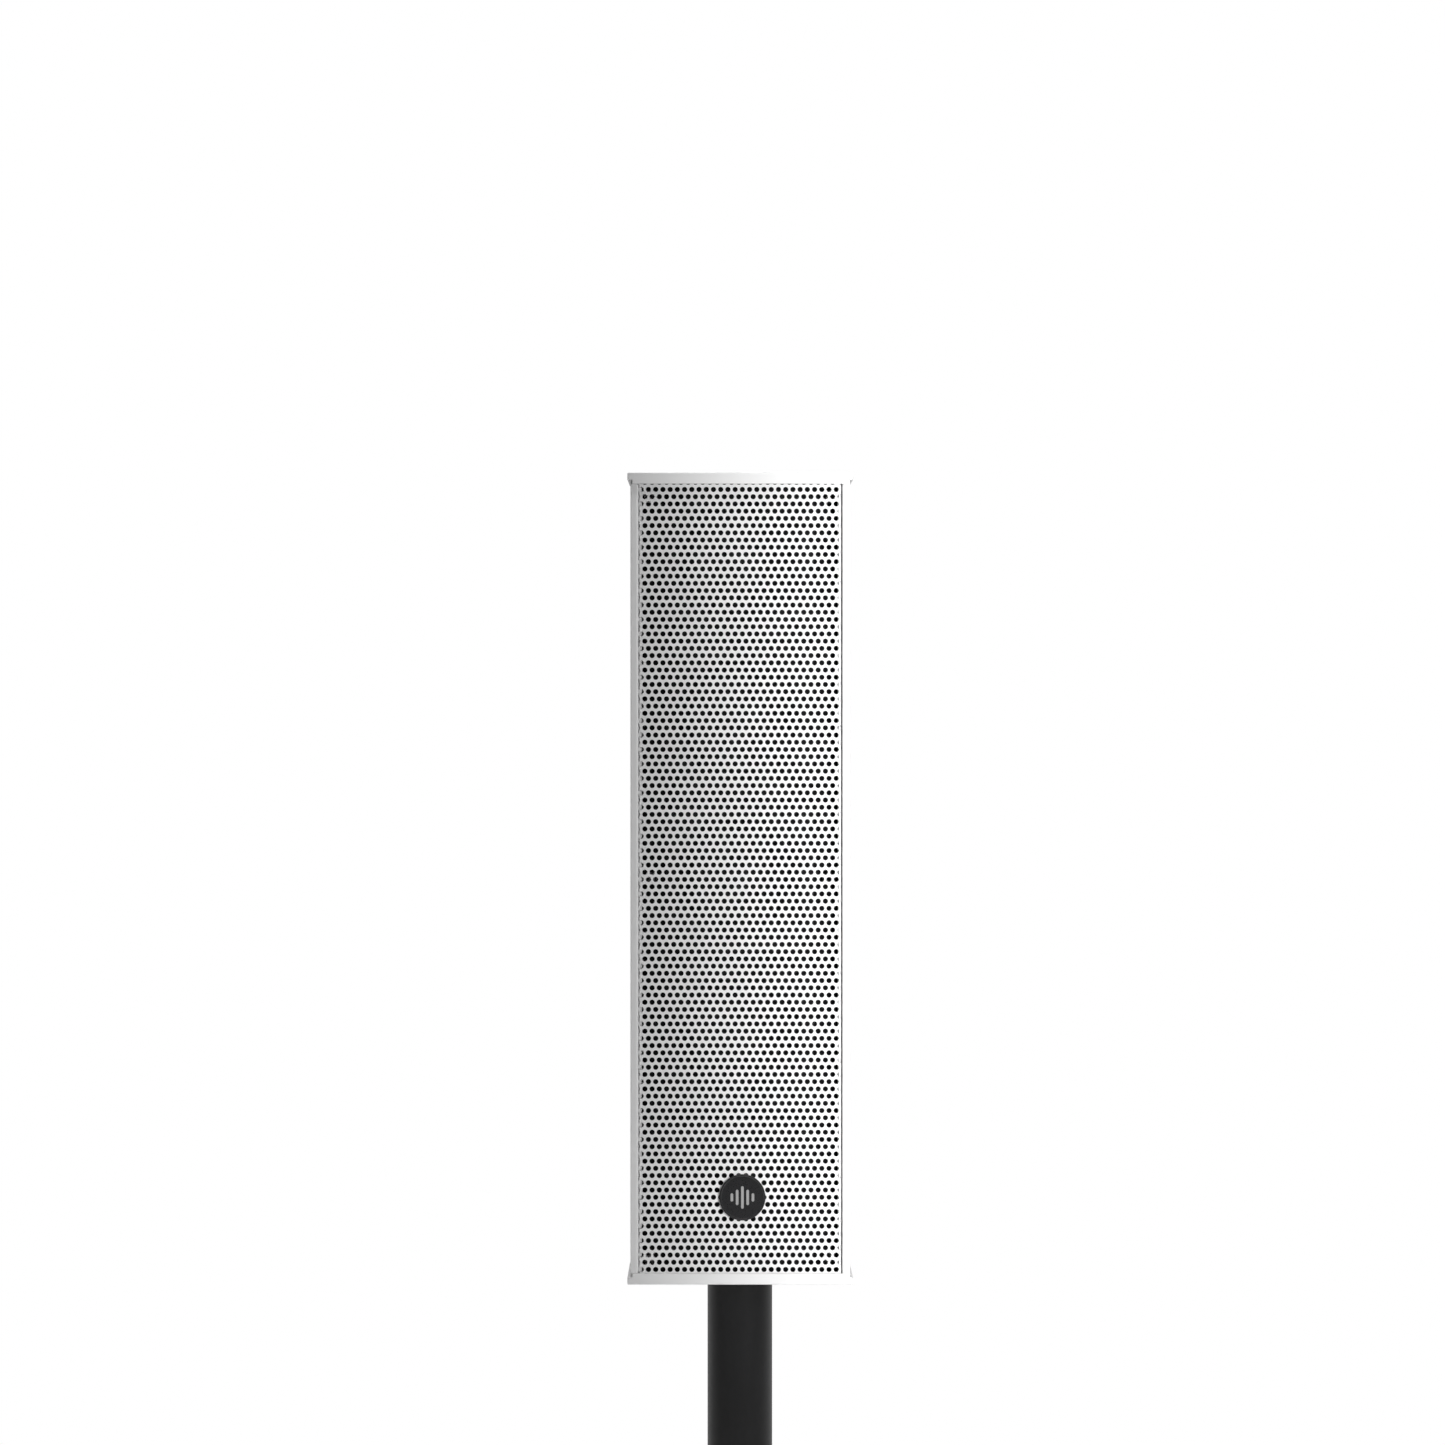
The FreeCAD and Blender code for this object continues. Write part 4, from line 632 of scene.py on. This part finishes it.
def turns_of_wire(tree):
    """Wound wire: dark gaps between turns, across the winding's height."""
    place = shader_node(tree, "ShaderNodeTexCoord")
    wave = shader_node(tree, "ShaderNodeTexWave", wave_type="BANDS", bands_direction="Z", Scale=420.0)
    wave.inputs["Distortion"].default_value = 0.6
    link(tree, place.outputs["Object"], wave.inputs["Vector"])
    return spread(tree, wave.outputs["Fac"], 0.0, 0.8, 0.0, 1.0), shade(COPPER, 0.35)


def laminations(tree):
    """Edges of the stacked steel sheets."""
    place = shader_node(tree, "ShaderNodeTexCoord")
    wave = shader_node(tree, "ShaderNodeTexWave", wave_type="BANDS", bands_direction="Y", Scale=320.0)
    link(tree, place.outputs["Object"], wave.inputs["Vector"])
    return spread(tree, wave.outputs["Fac"], 0.0, 0.7, 0.0, 1.0), SHEET_GAP


board_mask = finish("board_mask", BOARD_GREEN, 0.3, grain=0.8 * MM, depth=0.004 * MM, mottle=0.1,
                    pattern=tracks)
copper_wire = finish("copper_wire", COPPER, 0.35, metal=0.8, grain=0.5 * MM, depth=0.01 * MM, mottle=0.12,
                     pattern=turns_of_wire)
lamination_steel = finish("lamination_steel", STEEL_GREY, 0.45, metal=0.9, grain=0.5 * MM, depth=0.01 * MM,
                          mottle=0.12, pattern=laminations)
capacitor_film = finish("capacitor_film", FILM_AMBER, 0.35, grain=0.9 * MM, depth=0.01 * MM, mottle=0.1)
cover(board_mask, "board_green", "filter_board")
cover(copper_wire, "copper_wire", "filter_coil", "transformer_winding")
cover(lamination_steel, "lamination_steel", "transformer_core", "transformer_brackets")
cover(capacitor_film, "capacitor_film", "filter_capacitors")

# ---- Pole cup ----
# A die-cast cup on the bottom cap with a nylon lining, and a boss for the clamp screw.
CAST_GREY = (0.58, 0.58, 0.59)

cast = finish("cast_aluminium", CAST_GREY, 0.5, metal=1.0, grain=1.2 * MM, depth=0.05 * MM, mottle=0.1)
cover(cast, "cast_aluminium", "pole_cup")

# ---- Floor, light and camera ----
# A pale round table under the pole in a white room with a bright ceiling. A tall lamp in front on the
# right, its beam narrowed by a grid, makes the front brighter towards that side, and a soft lamp above
# throws the caps' shadows.
FLOOR_WHITE = (0.80, 0.80, 0.80)
FLOOR_RADIUS = 0.57
FLOOR_BEVEL = 0.002
FLOOR_LEVELS = (-0.003, -0.001, 0.0)
FLOOR_STEPS = 128
SIDE_RIGHT, SIDE_AHEAD, SIDE_UP = 0.20, 0.36, 0.03  # from the pole's axis, the front, the cabinet's middle
SIDE_AIM = 0.085            # right of the pole's axis, where the beam meets the front
SIDE_SIZE = (0.06, 0.66)
SIDE_WATTS = 0.66
SIDE_BEAM = 50              # degrees
TOP_RIGHT, TOP_AHEAD, TOP_UP = 0.20, 0.10, 0.35     # from the pole's axis, the front, the cabinet's top
TOP_AIM = (-0.02, -0.05)    # right of the pole's axis, and from the cabinet's top
TOP_SIZE = (0.12, 0.12)
TOP_WATTS = 0.5
DISTANCE = 4.0
FRAME_WIDTH = 0.7674        # what the camera takes in at the cabinet
VIEW_X = -9.4 * MM
VIEW_ABOVE_MIDDLE = 82.9 * MM
FRONT_ROOM = 0.02           # brightness of the room in front of the object, behind it and overhead
BACK_ROOM = 0.60
CEILING = 2.0
AHEAD, BEHIND = -0.1, 0.6           # headings towards +Y between which the room turns brighter
CEILING_FROM, CEILING_TO = 0.78, 0.92   # headings upwards between which the ceiling begins
SENSOR = 36.0               # the camera's own millimetres

middle = Vector(((cad_low.x + cad_high.x) / 2, 0, (cabinet_bottom + cad_high.z) / 2))


def floor_disc():
    """A flat disc with a bevelled rim, its top at the height of the pole's foot."""
    angles = [2 * math.pi * i / FLOOR_STEPS for i in range(FLOOR_STEPS)]
    radii = (FLOOR_RADIUS, FLOOR_RADIUS, FLOOR_RADIUS - FLOOR_BEVEL)
    points = [(radius * math.cos(angle), radius * math.sin(angle), z)
              for radius, z in zip(radii, FLOOR_LEVELS) for angle in angles]
    faces = []
    for start in (0, FLOOR_STEPS):
        for i in range(FLOOR_STEPS):
            after = (i + 1) % FLOOR_STEPS
            faces.append((start + i, start + after, start + FLOOR_STEPS + after, start + FLOOR_STEPS + i))
    faces.append(tuple(2 * FLOOR_STEPS + i for i in range(FLOOR_STEPS)))
    mesh = bpy.data.meshes.new("floor")
    mesh.from_pydata(points, [], faces)
    mesh.update()
    return mesh


floor = bpy.data.objects.new("floor", floor_disc())
bpy.context.scene.collection.objects.link(floor)
floor.data.materials.append(finish("floor_paint", FLOOR_WHITE, 0.6, grain=3 * MM, depth=0.02 * MM,
                                   mottle=0.01, soften=0))


def lamp(name, place, target, size, watts, beam=180):
    """A rectangular lamp at place that faces target, its beam as wide as so many degrees."""
    data = bpy.data.lights.new(name, "AREA")
    data.shape = "RECTANGLE"
    data.size, data.size_y = size
    data.energy = watts
    data.spread = math.radians(beam)
    made = bpy.data.objects.new(name, data)
    bpy.context.scene.collection.objects.link(made)
    made.location = place
    made.rotation_euler = (Vector(target) - Vector(place)).to_track_quat("-Z", "Y").to_euler()
    made.visible_camera = False
    made.visible_glossy = False


lamp("side_lamp", (SIDE_RIGHT, cad_low.y - SIDE_AHEAD, middle.z + SIDE_UP),
     (SIDE_AIM, cad_low.y, middle.z + SIDE_UP), SIDE_SIZE, SIDE_WATTS, SIDE_BEAM)
lamp("top_lamp", (TOP_RIGHT, cad_low.y - TOP_AHEAD, cad_high.z + TOP_UP),
     (TOP_AIM[0], cad_low.y, cad_high.z + TOP_AIM[1]), TOP_SIZE, TOP_WATTS)

world = bpy.data.worlds.new("white_room")
bpy.context.scene.world = world
world.use_nodes = True
room = world.node_tree
seen = shader_node(room, "ShaderNodeBackground", Strength=1.0)
seen.inputs["Color"].default_value = (1, 1, 1, 1)
lit = room.nodes["Background"]
lit.inputs["Color"].default_value = (1, 1, 1, 1)
heading = shader_node(room, "ShaderNodeTexCoord")
parts = shader_node(room, "ShaderNodeSeparateXYZ")
link(room, heading.outputs["Generated"], parts.inputs[0])
brighter = shader_node(room, "ShaderNodeMath", operation="MAXIMUM")
link(room, spread(room, parts.outputs["Y"], FRONT_ROOM, BACK_ROOM, AHEAD, BEHIND), brighter.inputs[0])
link(room, spread(room, parts.outputs["Z"], 0.0, CEILING, CEILING_FROM, CEILING_TO), brighter.inputs[1])
link(room, brighter.outputs[0], lit.inputs["Strength"])
ray = shader_node(room, "ShaderNodeLightPath")
choice = shader_node(room, "ShaderNodeMixShader")
link(room, ray.outputs["Is Camera Ray"], choice.inputs["Fac"])
link(room, lit.outputs["Background"], choice.inputs[1])
link(room, seen.outputs["Background"], choice.inputs[2])
link(room, choice.outputs["Shader"], room.nodes["World Output"].inputs["Surface"])

camera_data = bpy.data.cameras.new("camera")
camera_data.sensor_width = SENSOR
camera_data.lens = SENSOR * DISTANCE / FRAME_WIDTH
camera_data.clip_end = 50.0
camera = bpy.data.objects.new("camera", camera_data)
bpy.context.scene.collection.objects.link(camera)
camera.location = (VIEW_X, cad_low.y - DISTANCE, middle.z + VIEW_ABOVE_MIDDLE)
camera.rotation_euler = (math.pi / 2, 0, 0)
bpy.context.scene.camera = camera
bpy.context.scene.view_settings.view_transform = "Standard"
